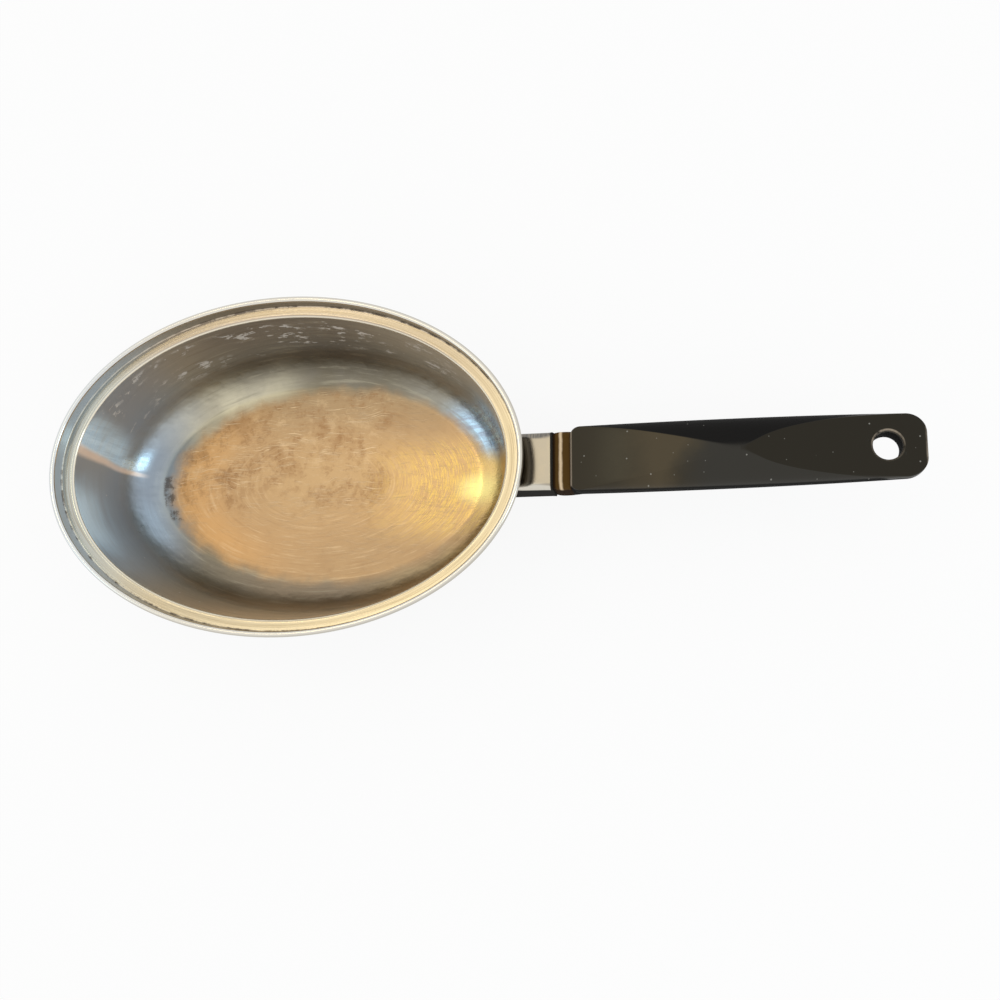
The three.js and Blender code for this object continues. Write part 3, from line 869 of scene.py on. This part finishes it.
def slot(mouth, width, round_at, low, high):
    """A slot with a round end, from one height to another."""
    bm = bmesh.new()
    made = bmesh.ops.create_circle(bm, segments=SLOT_STEPS, radius=width / 2, cap_ends=True)["verts"]
    bmesh.ops.translate(bm, verts=made, vec=(round_at, 0, low))
    for vert in made:
        if vert.co.x < round_at - WELD:
            vert.co.x = mouth
    grown = bmesh.ops.extrude_face_region(bm, geom=bm.faces[:])["geom"]
    bmesh.ops.translate(bm, verts=verts_in(grown), vec=(0, 0, high - low))
    bmesh.ops.recalc_face_normals(bm, faces=bm.faces)
    return bm


def upright_bore(diameter, at, low, high):
    """A round hole from one height to another."""
    bm = bmesh.new()
    bore = {"radius1": diameter / 2, "radius2": diameter / 2, "depth": high - low}
    made = bmesh.ops.create_cone(bm, cap_ends=True, segments=HOLE_STEPS, **bore)["verts"]
    bmesh.ops.translate(bm, verts=made, vec=(at, 0, (low + high) / 2))
    return bm


class FRYINGPAN_OT_handle(bpy.types.Operator):
    """Lofts the nose and the faceted grip, then cuts the hang hole, the tang's socket and the screw's well"""

    bl_idname = "fryingpan.handle"
    bl_label = "Handle"

    def execute(self, context):
        handle = context.scene.frying_pan.handle
        bm = bmesh.new()
        for edges in loft(bm, handle_stations(handle)):
            bmesh.ops.contextual_create(bm, geom=edges)
        bmesh.ops.dissolve_degenerate(bm, dist=WELD, edges=bm.edges)
        bmesh.ops.recalc_face_normals(bm, faces=bm.faces)
        mouth, screw = -2 * handle.spigot, handle.screw_at
        roof, well_roof = -handle.socket_top, -handle.well_roof
        for cutter in (
            hang_hole(handle),
            slot(mouth, handle.socket_width, handle.socket_end, -handle.socket_foot, roof),
            slot(mouth, handle.nut_slot, screw, roof - CUT_OVERLAP, -handle.nut_slot_top),
            upright_bore(handle.well, screw, 2 * well_roof, well_roof),
            upright_bore(handle.screw_hole, screw, well_roof - CUT_OVERLAP, roof - CUT_OVERLAP),
        ):
            bm = carve(bm, cutter)
        bm.transform(handle_matrix(handle))
        piece = object_from("handle_smooth", bm)
        settle(piece, "handle", "black_phenolic", phenolic(context.scene.frying_pan))
        return {"FINISHED"}


class FRYINGPAN_OT_flame_guard(bpy.types.Operator):
    """Lofts the sleeve from the pan's wall to its turned-out end and gives it its thickness"""

    bl_idname = "fryingpan.flame_guard"
    bl_label = "Flame guard"

    def execute(self, context):
        settings = context.scene.frying_pan
        handle, body = settings.handle, settings.body
        rounding, flare = handle.guard_round, handle.guard_flare
        end = -handle.guard_gap - rounding
        stations = [(u, nose_ring(handle, 0)) for u in GUARD_PLACES]
        for t in shares(ARC_STEPS):
            u = end - (handle.guard_lip - rounding) * (1 - math.sin(QUARTER * t))
            stations.append((u, nose_ring(handle, flare * (1 - math.cos(QUARTER * t)))))
        for t in shares(GUARD_END_STEPS, 1):
            u = end + rounding * math.sin(QUARTER * t)
            stations.append((u, nose_ring(handle, flare - rounding * (1 - math.cos(QUARTER * t)))))
        bm = bmesh.new()
        inner_end, _ = loft(bm, stations)
        matrix = handle_matrix(handle)
        bm.transform(matrix)
        at = body_section(body)
        top, spread = at["wall_top"], at["spread"]
        out = body.sheet / 2 / math.cos(body.wall_draft) + handle.wall_gap
        along = matrix.to_3x3() @ Vector((1, 0, 0))
        for vert in {vert for edge in inner_end for vert in edge.verts}:
            for _ in range(WALL_TRIES):
                radius = top.x - (top.z - vert.co.z) * math.tan(body.wall_draft) + out
                wall = (radius + spread) * math.sqrt(1 - (vert.co.y / radius) ** 2)
                vert.co += along * ((wall - vert.co.x) / along.x)
        bmesh.ops.recalc_face_normals(bm, faces=bm.faces)
        bm.normal_update()
        bmesh.ops.solidify(bm, geom=bm.faces[:], thickness=handle.guard_wall)
        piece = object_from("flame_guard_smooth", bm)
        settle(piece, "flame_guard", "polished_steel", guard_steel(settings))
        return {"FINISHED"}


class FRYINGPAN_OT_fittings(bpy.types.Operator):
    """Finishes the bracket, the screw, the nut and the washer, which keep their CAD shapes"""

    bl_idname = "fryingpan.fittings"
    bl_label = "Fittings"

    def execute(self, context):
        finishes = context.scene.frying_pan.finishes
        rolled, plated = rolled_steel(finishes), zinc_plate(finishes)
        for node, material in (
            ("handle_bracket", rolled),
            ("handle_screw", plated),
            ("tang_nut", plated),
            ("lock_washer", plated),
        ):
            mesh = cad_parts[node].data
            mesh.materials.clear()
            mesh.materials.append(material)
        return {"FINISHED"}


def floor_tint(paint, finishes, s, handle_end):
    """Colour and relief of the cooked-on floor: paler in the middle, orange at its left edge, with soft brown
    stains, faint arcs along the oval and the swirls of a scouring pad. Its warm tan is partly a painted warm
    reflection, and the brushed straw arcs at the handle's end are partly a painted highlight."""
    x, y = paint.x, paint.y
    cloud = paint.noise(19, 5, 0.6)
    spots = paint.noise(8.5, 8, 0.72, shift=(40, 0, 0))
    mottle = paint.noise(2.8, 4, 0.65, shift=(0, 40, 0)).between(0.5, 0.6) * cloud.between(0.42, 0.6)
    arcs = paint.noise(1, 3, 0.6, at=paint.vector(s * 1.3, x * 0.06, y * 0.06))
    brushed = paint.noise(1, 3, 0.7, at=paint.vector(s * 3.2, x * 0.05, y * 0.2))
    scratch = pad_scratches(paint)
    soiled = (y + (cloud - 0.5) * 30).between(-20, 4) * x.between(50, 26) * 0.85 + 0.15
    ringed = (y.between(24, -12) * 0.75 + 0.25) * s.between(8, 22)
    tan = paint.coats(
        finishes.floor,
        (s.between(30, 4), finishes.floor_middle),
        (s.between(22, 40) * x.between(-8, -52), finishes.floor_edge),
        (y.between(8, 44) * 0.4, finishes.fillet),
        (cloud.between(0.46, 0.66) * soiled * 0.45, finishes.stain),
        (spots.between(0.53, 0.6) * soiled * 0.36, finishes.stain),
        (mottle * soiled * 0.5, finishes.stain),
        (y.between(-12, -34) * x.between(-24, 20) * 0.16, finishes.fillet),
        (spots.between(0.46, 0.36) * soiled * 0.18, finishes.worn),
        (arcs.between(0.54, 0.7) * ringed * 0.26, finishes.worn),
        (arcs.between(0.46, 0.3) * ringed * 0.18, finishes.stain),
        (scratch * (soiled * 0.45 + 0.15), finishes.worn),
        # Brushed straw arcs at the handle's end, partly a painted highlight.
        ((brushed.between(0.44, 0.6) * 0.75 + 0.1) * handle_end, finishes.straw),
    )
    return tan, scratch + arcs * ringed * 0.3 + brushed * handle_end


def wall_tint(paint, finishes, s, fillet):
    """Colour of the wall and its turn, and how far a painted blue reflection covers it."""
    x, y, z = paint.x, paint.y, paint.z
    haze = paint.noise(20, 5, 0.6, shift=(11, 0, 0))
    streaks = paint.noise(1, 5, 0.65, at=paint.vector(s * 0.5, x * 0.035, y * 0.035))
    drift = (paint.noise(16, 3, shift=(0, 21, 0)) - 0.5) * 14
    # Far turn: scoured, and partly a painted reflection of a soft light.
    scoured_sheen = y.between(12, 34) * (x + drift).between(2, -36)
    # Near side, which takes painted reflections of the tan floor.
    near_side = y.between(-18, -44) * x.between(-72, -8)
    handle_end = x.between(58, 84) * (y + drift).between(20, -4) * (z + drift * 0.5).between(34, 8)
    # Beside the handle on the near side, which takes a painted reflection of the floor.
    near_right = y.between(-4, -28) * x.between(12, 58)
    # Painted reflection: a blue glow up the turn and wall beside the handle, spreading a cool highlight.
    far_right = x.between(54, 76) * (y + drift * 0.4).band(22, 5, 13) * s.between(fillet + 20, fillet - 4)
    at_left = x.between(-54, -88)
    # Painted shade: a dark band round the turn of the wall, weaker at the ends and on the near side, where
    # the steel mirrors the dark opposite wall.
    painted_shade_band = s.band(fillet - 9, 3, 9) * (x.band(-10, 20, 45) * 0.5 + 0.1)
    painted_shade_band = painted_shade_band * (1 - near_side * 0.8) * (1 - handle_end) * (1 - near_right)
    lines = 1 - at_left.larger(far_right) * 0.7

    # Painted reflection: these masks lay blue up the left wall and its turn, where the steel mirrors cool
    # light and its highlight.
    beside = y - z * 0.14
    high = beside.between(4.5, 7.5) * (beside + drift * 0.5).between(24, 11)
    high = high * (z + drift * 0.4).between(9, 22)
    high = high.larger(beside.between(4.5, 7) * (beside + drift * 0.2).between(13, 8) * z.between(4, 9))
    low = (y + drift).band(-22, 6, 22) * (z + drift * 0.5).between(14, 44)
    turned = (y + drift * 0.3).band(12, 1, 6) * s.band(60.5, 1, 6)
    pale = (y + drift * 0.3).band(-20, 3, 13) * s.band(57, 1, 9) * 0.4
    blue = high.larger(low * 0.9, turned, pale) * at_left
    blue = blue.larger(far_right) * (streaks.between(0.66, 0.4) * 0.5 + 0.5)
    # Streaks within the painted blue glow beside the handle.
    lilac = paint.noise(1, 4, 0.65, at=paint.mapped((0.09, 0.5, 0.2), turn=-0.9)).between(0.58, 0.42)
    run = paint.noise(1, 4, 0.6, at=paint.vector(y * 0.45, z * 0.04, 3)).between(0.36, 0.6) * 0.6 + 0.4
    by_ledge = (y + drift * 0.6).band(-20, 5, 14) * z.between(26, 42) * at_left
    streak = ((beside + drift * 0.1 - 4.4) / (z * 0.03 + 0.7)).band(0, 0.3, 1.5) * at_left

    turn = paint.coats(
        finishes.fillet,
        (scoured_sheen, finishes.pale_fillet),
        (haze.between(0.4, 0.68) * 0.4, finishes.wall),
        (near_side * 0.8, finishes.brown_fillet),
    )
    upright = paint.coats(
        finishes.pale_wall,
        (x.band(-6, 20, 45), finishes.wall),
        (near_side * 0.8, finishes.warm_wall),
    )
    steel = paint.coats(
        turn,
        (s.between(fillet - 15, fillet + 2), upright),
        (near_right * 0.75, finishes.near_wall),
        (x.between(28, 72) * y.between(12, 40) * 0.6, finishes.far_wall),
        (handle_end * 0.75, finishes.straw_wall),
        (painted_shade_band, finishes.shade),
        (streaks.between(0.5, 0.72) * lines * 0.28, finishes.shade),
        (streaks.between(0.47, 0.3) * lines * 0.25, finishes.pale_fillet),
        (at_left * 0.6, finishes.left_wall),
        (blue * 0.9, finishes.blued),
        (far_right * lilac * 0.55, finishes.lilac),
        (high * run * at_left * 0.95, finishes.pale_blue),
        (by_ledge * 0.85, finishes.pale_blue),
        (streak * s.between(fillet - 18, fillet - 8) * 0.85, finishes.peach),
    )
    return steel, blue


def cooking_steel(finishes, marks):
    """The inside, by distance along the section: stained floor, yellowed fillet, satin wall with straw heat
    tint under the handle and dried drops, ledge with dark residue in its corner, riser and polished lip. The
    wall's blue and warm tints and its dark band are painted reflections and shade; the golden spot and glow
    at the handle's end and the bright inner edge of the ledge are painted highlights."""
    paint = Paint("cooking_steel")
    s = paint.attribute("along")
    x, y, z = paint.x, paint.y, paint.z
    floor, fillet, wall, ledge, corner, riser = marks.values()
    ragged = (paint.noise(13, 5, 0.6) - 0.5) * 10
    further = x.between(58, 84) * y.between(14, -2) * 8
    on_floor = (s + ragged - x * 0.055 + y * 0.03 - further).between(floor + 5, floor - 3)
    on_wall = s.between(fillet - 15, fillet + 2)
    on_ledge = s.between(wall + 0.2, wall + 0.8)
    on_riser = s.between(ledge + 0.3, corner)
    on_lip = s.between(riser - 0.2, riser + 0.3)
    handle_end = x.between(14, 66) * y.band(-5, 12, 18)
    # The left end, where ledge, riser and lip take painted cool reflections.
    left_end, left_half = x.between(-50, -95), x.between(-20, -80)

    tan, relief = floor_tint(paint, finishes, s, handle_end)
    steel, blue = wall_tint(paint, finishes, s, fillet)
    # Painted highlight: a golden spot where the floor turns up under the handle, fading with this distance.
    spot = (((x - 80) / 15) ** 2 + ((y + 5) / 10) ** 2) ** 0.5
    grooves = paint.noise(1, 3, 0.6, at=paint.vector(s * 3, x * 0.03, y * 0.03))
    middle = (s + (grooves - 0.5) * 0.5).band((wall + ledge) / 2 + 0.9, 0.3, 0.7)
    seat = paint.coats(
        finishes.ledge,
        (y.between(10, 60) * 0.8, finishes.far_ledge),
        (left_end * 0.8, finishes.left_ledge),
        (grooves.between(0.5, 0.62) * 0.5, finishes.ledge_line),
        (middle * (0.3 - left_end * 0.25), finishes.ledge_line),
        # Painted highlight along the ledge's inner edge.
        (s.band(wall + 0.9, 0.3, 0.5) * 0.8, finishes.ledge_edge),
    )
    upstand = paint.coats(
        finishes.riser,
        (left_half * 0.8, finishes.pale_riser),
        (left_end, finishes.left_riser),
    )
    lip = paint.coats(
        finishes.lip,
        (s.between(riser + 2.2, riser + 3) * 0.6, finishes.lip_outside),
        (left_end * 0.6, finishes.left_lip),
    )

    drops = paint.noise(3.4, 5, 0.65, at=paint.mapped((0.5, 0.5, 1.3))).between(0.56, 0.585)
    drops = drops * y.between(8, 30) * z.between(12, 22) * s.between(wall - 1, wall - 4)
    drops = drops * paint.noise(20, 2, 0.5, shift=(7, 3, 0)).between(0.45, 0.55)
    wet = drops.larger(paint.specks(6, 0.6) * z.between(12, 20) * s.between(wall - 1, wall - 3))
    dashes = paint.noise(6, 4, 0.7, shift=(0, 9, 0)).between(0.44, 0.6)
    line = s.band((ledge + corner) / 2, 0.3, 0.35) * dashes * (1 - left_half * y.between(-10, 20) * 0.8)
    crust = paint.noise(4.5, 6, 0.72, shift=(3, 8, 0)).between(0.42, 0.56)
    patch = s.band(floor - 0.5, 1.2, 1.5) * x.between(-60, -72) * y.band(-6, 10, 2)
    base = paint.coats(
        steel,
        (on_floor, tan),
        # Painted highlight: glow round the golden spot under the handle.
        (x.between(74, 88) * y.band(-4, 7, 13) * 0.8, finishes.flare),
        # Painted highlight: the golden spot.
        (spot.between(1, 0.1) * 0.75, finishes.gold),
        (on_ledge, seat),
        (on_riser, upstand),
        (on_lip, lip),
        (wet * 0.9, finishes.water),
        (line * 0.8, finishes.residue),
        (crust * patch * 0.7, finishes.residue),
    )

    rings = paint.noise(1, 3, at=paint.vector(s * 5, x * 0.02, y * 0.02))
    scour = paint.noise(1, 4, 0.65, at=paint.mapped((0.12, 0.7, 0.3), turn=0.6)) - 0.5
    on_turn = s.between(floor + 1, floor + 6) * s.between(fillet + 4, fillet - 4)
    rough = 0.37 - handle_end * on_floor * 0.12 - blue * 0.1 + (rings - 0.5) * 0.1
    rough = rough + wet * 0.2 - on_ledge * 0.14 - on_lip * 0.08 + scour * on_turn * 0.45
    metal = 1 - on_wall * (1 - on_ledge) * (0.5 + blue * 0.45) - wet * 0.2 - on_riser * (1 - on_lip) * 0.65
    waves = paint.noise(9, 3, shift=(0, 0, 17)) * on_turn
    relief = paint.bump(relief * on_floor, 0.02, paint.bump(rings, 0.012, paint.bump(waves, 0.45)))
    return paint.finish(Base_Color=base, Metallic=metal, Roughness=rough, Normal=relief)


def pad_scratches(paint):
    """Fine broken scratches in several directions, as a scouring pad leaves them."""
    waver = {"Vector": paint.place, "Scale": 1 / 26, "Detail": 2}
    bent = paint.node("ShaderNodeTexNoise", (), waver, "Color")
    bend = {0: bent, 1: (11, 11, 0), 2: paint.place}
    place = paint.node("ShaderNodeVectorMath", {"operation": "MULTIPLY_ADD"}, bend)
    lines = []
    for seed, turn in enumerate((0.25, 0.9, 1.5, 2.1, 2.75)):
        at = paint.mapped((0.07, 1.9, 0), (seed * 7, 0, seed), turn, place)
        line = paint.noise(1, 2, 0.5, at=at).between(0.62, 0.7)
        lines.append(line * paint.noise(24, 2, shift=(seed * 9, 4, 0)).between(0.46, 0.56))
    return lines[0].larger(*lines[1:])


def outside_steel(finishes):
    """The outside: fine draw lines round the wall, smears and dried drops, heat tint that goes from straw
    to blue towards the base, a dulled patch behind the handle and a browned, sooty underside."""
    paint = Paint("outside_steel")
    z = paint.z
    haze = paint.noise(30, 5, 0.6)
    lines = paint.noise(1, 4, 0.65, at=paint.mapped((0.02, 0.02, 2.2)))
    smears = paint.noise(1, 3, 0.5, at=paint.mapped((0.05, 0.05, 0.03)))
    height = z + (haze - 0.5) * 14 + (smears - 0.5) * 6
    darkened = paint.x.between(96, 102) * paint.y.band(0, 12, 10) * z.between(52, 49)
    under = z.between(1.2, 0.4)
    soot = paint.noise(22, 8, 0.7, shift=(5, 5, 5)).between(0.46, 0.68)
    base = paint.coats(
        finishes.outside,
        (lines.between(0.4, 0.62) * 0.55, finishes.draw_line),
        (smears.between(0.42, 0.72) * 0.14, finishes.shade),
        (paint.specks(7, 0.7) * 0.5, finishes.water),
        (height.between(24, 9) * 0.6, finishes.outside_straw),
        (height.between(11, 4) * 0.6, finishes.outside_brown),
        (height.band(3.5, 1, 2.5) * 0.5, finishes.outside_blue),
        (darkened * 0.8, finishes.shade),
        (under * haze.between(0.3, 0.7) * 0.7, finishes.outside_straw),
        (under * soot * 0.6, finishes.residue),
    )
    rough = 0.16 + haze * 0.1 + (lines - 0.5) * 0.16 + under * 0.15 + darkened * 0.15 + smears * 0.05
    return paint.finish(Base_Color=base, Metallic=1, Roughness=rough, Normal=paint.bump(lines, 0.015))


def guard_steel(settings):
    """Polished sheet with smears and hairlines. Its bright near edge is a painted highlight, and its dark far
    edge, flanks and end are painted reflections of dark surroundings.
    """
    finishes, handle = settings.finishes, settings.handle
    paint = Paint("guard_steel")
    smear = paint.noise(6, 4, 0.6)
    hair = paint.noise(1, 3, 0.6, at=paint.mapped((3, 0.15, 0.15)))
    top, nose = (handle.nose_z + handle.nose_height - handle.nose_depth) / MM, handle.nose_x / MM
    # Painted reflection: the flanks and the end are painted dark, rougher and less metallic.
    flank = (paint.z + (smear - 0.5) * 0.8).between(top - 2, top - 3)
    flank = flank.larger(paint.x.between(nose - 1.1, nose - 0.7))
    # Painted highlight along the guard's near top edge.
    rubbed = paint.z.between(top - 0.1, top - 0.5) * paint.y.between(-9, -11)
    # Painted reflection: a dark line along the guard's far top edge.
    darkened = paint.z.between(top - 0.05, top - 0.35) * paint.y.between(9, 10.5)
    base = paint.coats(
        finishes.guard,
        (smear.between(0.4, 0.75) * 0.3, finishes.guard_smear),
        (rubbed * 0.6, finishes.guard_bright),
        (darkened * (hair.between(0.4, 0.55) * 0.5 + 0.35), finishes.guard_dark_edge),
        (flank, finishes.guard_dark_reflection),
    )
    rough = 0.1 + smear * 0.1 + (hair - 0.5) * 0.05 + flank * 0.4
    relief = paint.bump(hair, 0.004)
    return paint.finish(
        Base_Color=base, Metallic=1 - flank * 0.9, Roughness=rough, Specular_IOR_Level=0, Normal=relief
    )


def phenolic(settings):
    """Black moulding with polished facets and satin flanks. The lighter tones of the facets, the brown and
    pale crest of the nose and the pale lines along the edges are painted reflections and highlights; the
    moulding is also dusty."""
    finishes, handle = settings.finishes, settings.handle
    paint = Paint("black_phenolic")
    out, up = paint.x - handle.nose_x / MM, paint.z - handle.nose_z / MM
    tilt = handle.tilt
    u = out * math.cos(tilt) + up * math.sin(tilt)
    w = up * math.cos(tilt) - out * math.sin(tilt)
    crest, crown, front = handle.crest_at / MM, handle.crown / MM, handle.nose_length / MM
    radius, half_width = facet_radius(handle) / MM, handle.front_width / MM / 2
    facet = (radius**2 - (crest - u) ** 2) ** 0.5 + (crown - radius)
    before = ((1 - (facet / crown) ** 2) * half_width**2 - paint.y**2).between(-3, 3)
    on_front = before * (facet - w).between(0.6, 0.2)
    on_front = on_front * u.between(crest + 0.2, crest - 0.2) * u.between(front, front + 0.3)
    past, roll = u - crest, handle.crest_roll / MM
    rolled = past.math("MINIMUM", past, roll)
    lean = (rolled**2 / (2 * roll) + past - rolled) * (rear_fall(handle) / crown)
    behind = ((lean * 2 - lean**2) * half_width**2 - paint.y**2).between(-2, 2) * w.between(0, 1)
    on_rear = behind * u.between(crest - 0.2, crest + 0.2)
    far_flank = (1 - on_front - on_rear) * paint.y.between(-1, 3) * u.between(front, front + 0.5)

    cloud = paint.noise(24, 4, 0.6)
    drift = u + (cloud - 0.5) * 18
    slant = drift - paint.y * 0.7
    under = w.between(3.6, 1.4) * (1 - on_front - on_rear)
    top = w.between(-4, -1.5)
    # Painted reflection: a brown band over the nose.
    brown = u.between(front + 0.2, front - 0.6) * u.between(0.8, 1.8) * top
    # Painted highlight: a pale band along the top of the nose's roll.
    worn = u + (paint.noise(5, 4, 0.6) - 0.5) * 0.8
    rubbed = worn.band(handle.nose_roll_at / MM - 0.35, 0.1, 1) * top

    reach, rear_facet = handle.reach / MM, handle.rear_facet / MM
    hole = ((u - (reach - handle.hole_from_end / MM)) ** 2 + paint.y**2) ** 0.5 - handle.hole / 2 / MM
    # Painted highlights along the hang hole's rim, the front edge and the far end, broken up by this noise.
    glint_breakup = paint.noise(4, 4, 0.6).between(0.3, 0.6)
    brow = w.between(rear_facet - 1, rear_facet - 0.3)
    rim = hole.band(0.4, 0.2, 0.3) * glint_breakup * (paint.y.between(-1, 4) * 0.8 + 0.2) * brow
    front_edge = u.band(front + 0.5, 0.25, 0.4) * w.between(-1, 0.5)
    end_edge = u.between(reach - 1.1, reach - 0.4) * glint_breakup * brow * (paint.y.between(2, -6) * 0.6 + 0.4)
    above = paint.vector(paint.x, paint.y, 0)
    coarse, fine = paint.specks(9.5, 0.42, above, "2D"), paint.specks(6.3, 0.28, above, "2D")
    dust = (coarse * 0.8).larger(fine * 0.5) * w.between(0.6, 2)
    # Painted reflections: the facets' tones over the black of the flanks and underside.
    base = paint.coats(
        finishes.faded,
        (drift.between(50, 66), finishes.grey_grip),
        (drift.between(24, 44) * slant.between(64, 52) * 0.9, finishes.rubbed),
        (on_rear, finishes.rear_facet),
        (far_flank.larger(under), finishes.phenolic),
        (u.between(front + 0.25, front), finishes.nose),
        (brown, finishes.heated),
        (rubbed * 0.95, finishes.nose_crest),
        (rim.larger(front_edge, end_edge), finishes.edge_highlight),
        (dust * 0.4, finishes.dust),
    )
    rub = paint.noise(1, 4, 0.6, at=paint.mapped((0.08, 1.4, 1.4), turn=0.2))
    satin = far_flank.larger(under, hole.between(0.3, 0))
    rough = 0.14 + cloud * 0.06 + rub.between(0.5, 0.8) * 0.06 + dust * 0.4 + satin * 0.5 + under * 0.25
    relief = paint.bump(paint.noise(1.4, 3), 0.003)
    return paint.finish(Base_Color=base, Roughness=rough, IOR=1.2, Normal=relief)


def rolled_steel(finishes):
    """Grey rolled strip with mill grain."""
    paint = Paint("rolled_steel")
    grain = paint.noise(1, 4, 0.6, at=paint.mapped((0.1, 2, 2)))
    base = paint.mix(grain.between(0.3, 0.7), finishes.bracket, finishes.mill_grain)
    relief = paint.bump(grain, 0.01)
    return paint.finish(Base_Color=base, Metallic=1, Roughness=grain * 0.2 + 0.3, Normal=relief)


def zinc_plate(finishes):
    """Zinc plating with a faint spangle."""
    paint = Paint("zinc_plate")
    spangle = paint.noise(1.2, 4, 0.65)
    base = paint.mix(spangle.between(0.35, 0.7), finishes.zinc, finishes.spangle)
    relief = paint.bump(spangle, 0.006)
    return paint.finish(Base_Color=base, Metallic=1, Roughness=spangle * 0.2 + 0.22, Normal=relief)


COOL, WARM, AMBER = (0.72, 0.92, 1), (1, 0.9, 0.6), (1, 0.9, 0.55)

# Name, azimuth and elevation in degrees, width and height in metres, power in watts, tint.
LAMPS = (
    ("cool_softbox_right", -18, 38, 0.24, 0.4, 0.6, COOL),
    ("cool_softbox_left", -164, 38, 0.24, 0.4, 0.19, COOL),
    ("warm_softbox_above", 144, 73, 0.34, 0.34, 0.2, WARM),
    ("warm_lamp", 152, 65, 0.1, 0.1, 0.1, AMBER),
)


def softbox(studio, name, azimuth, elevation, width, height, power, tint):
    """A lamp that faces the place where the lamps aim."""
    lamp = bpy.data.lights.new(name, "AREA")
    lamp.shape, lamp.size, lamp.size_y = "RECTANGLE", width, height
    lamp.energy, lamp.color = power, tint
    made = bpy.data.objects.new(name, lamp)
    bpy.context.scene.collection.objects.link(made)
    az, el = math.radians(azimuth), math.radians(elevation)
    towards = Vector((math.cos(el) * math.cos(az), math.cos(el) * math.sin(az), math.sin(el)))
    made.location = towards * studio.lamp_distance + Vector(studio.lamp_aim)
    made.rotation_euler = towards.to_track_quat("Z", "Y").to_euler()


class FRYINGPAN_OT_studio(bpy.types.Operator):
    """Sets up the floor, the lamps, the even white surroundings and the camera"""

    bl_idname = "fryingpan.studio"
    bl_label = "Studio"

    def execute(self, context):
        scene = context.scene
        studio = scene.frying_pan.studio
        scene.view_settings.view_transform = "Standard"

        bm = bmesh.new()
        bmesh.ops.create_grid(bm, x_segments=1, y_segments=1, size=studio.floor_reach)
        bmesh.ops.translate(bm, verts=bm.verts, vec=(0, 0, -studio.floor_gap))
        floor = object_from("floor", bm)
        paint = Paint("pale_floor")
        seen = paint.seen_directly()
        pale = paint.node("ShaderNodeBsdfDiffuse", (), {"Color": (*studio.floor_tint, 1)})
        white = paint.node("ShaderNodeEmission", (), {"Color": (1, 1, 1, 1), "Strength": 1})
        shown = paint.node("ShaderNodeMixShader", (), {0: seen * studio.floor_glow, 1: pale, 2: white})
        paint.node("ShaderNodeOutputMaterial", (), {0: shown})
        floor.data.materials.append(paint.material)

        world = bpy.data.worlds.new("surroundings")
        scene.world = world
        world.use_nodes = True
        light = Nodes(world.node_tree)
        strength = light.seen_directly() * (1 - studio.fill) + studio.fill
        glow = light.node("ShaderNodeBackground", (), {0: (1, 1, 1, 1), 1: strength})
        light.node("ShaderNodeOutputWorld", (), {0: glow})

        for lamp in LAMPS:
            softbox(studio, *lamp)

        view = bpy.data.cameras.new("camera")
        view.lens, view.sensor_width = studio.lens, studio.sensor
        camera = bpy.data.objects.new("camera", view)
        scene.collection.objects.link(camera)
        camera.location = studio.camera_at
        camera.rotation_euler = studio.camera_turn
        scene.camera = camera
        return {"FINISHED"}


class FRYINGPAN_PT_sidebar(bpy.types.Panel):
    """Lists the pieces and the studio"""

    bl_idname = "FRYINGPAN_PT_sidebar"
    bl_label = "Oval frying pan"
    bl_space_type = "VIEW_3D"
    bl_region_type = "UI"
    bl_category = "Frying pan"

    def draw(self, context):
        for operator in OPERATORS:
            self.layout.operator(operator.bl_idname)


OPERATORS = (
    FRYINGPAN_OT_body,
    FRYINGPAN_OT_flame_guard,
    FRYINGPAN_OT_handle,
    FRYINGPAN_OT_fittings,
    FRYINGPAN_OT_studio,
)
GROUPS = (PanBodySizes, HandleSizes, PanFinishes, StudioSettings, FryingPan)
CLASSES = (*GROUPS, *OPERATORS, FRYINGPAN_PT_sidebar)


def register():
    for cls in CLASSES:
        bpy.utils.register_class(cls)
    bpy.types.Scene.frying_pan = PointerProperty(type=FryingPan)


def unregister():
    del bpy.types.Scene.frying_pan
    for cls in reversed(CLASSES):
        bpy.utils.unregister_class(cls)


def main():
    register()
    bpy.ops.fryingpan.body()
    bpy.ops.fryingpan.flame_guard()
    bpy.ops.fryingpan.handle()
    bpy.ops.fryingpan.fittings()
    bpy.ops.fryingpan.studio()


if __name__ == "__main__":
    main()
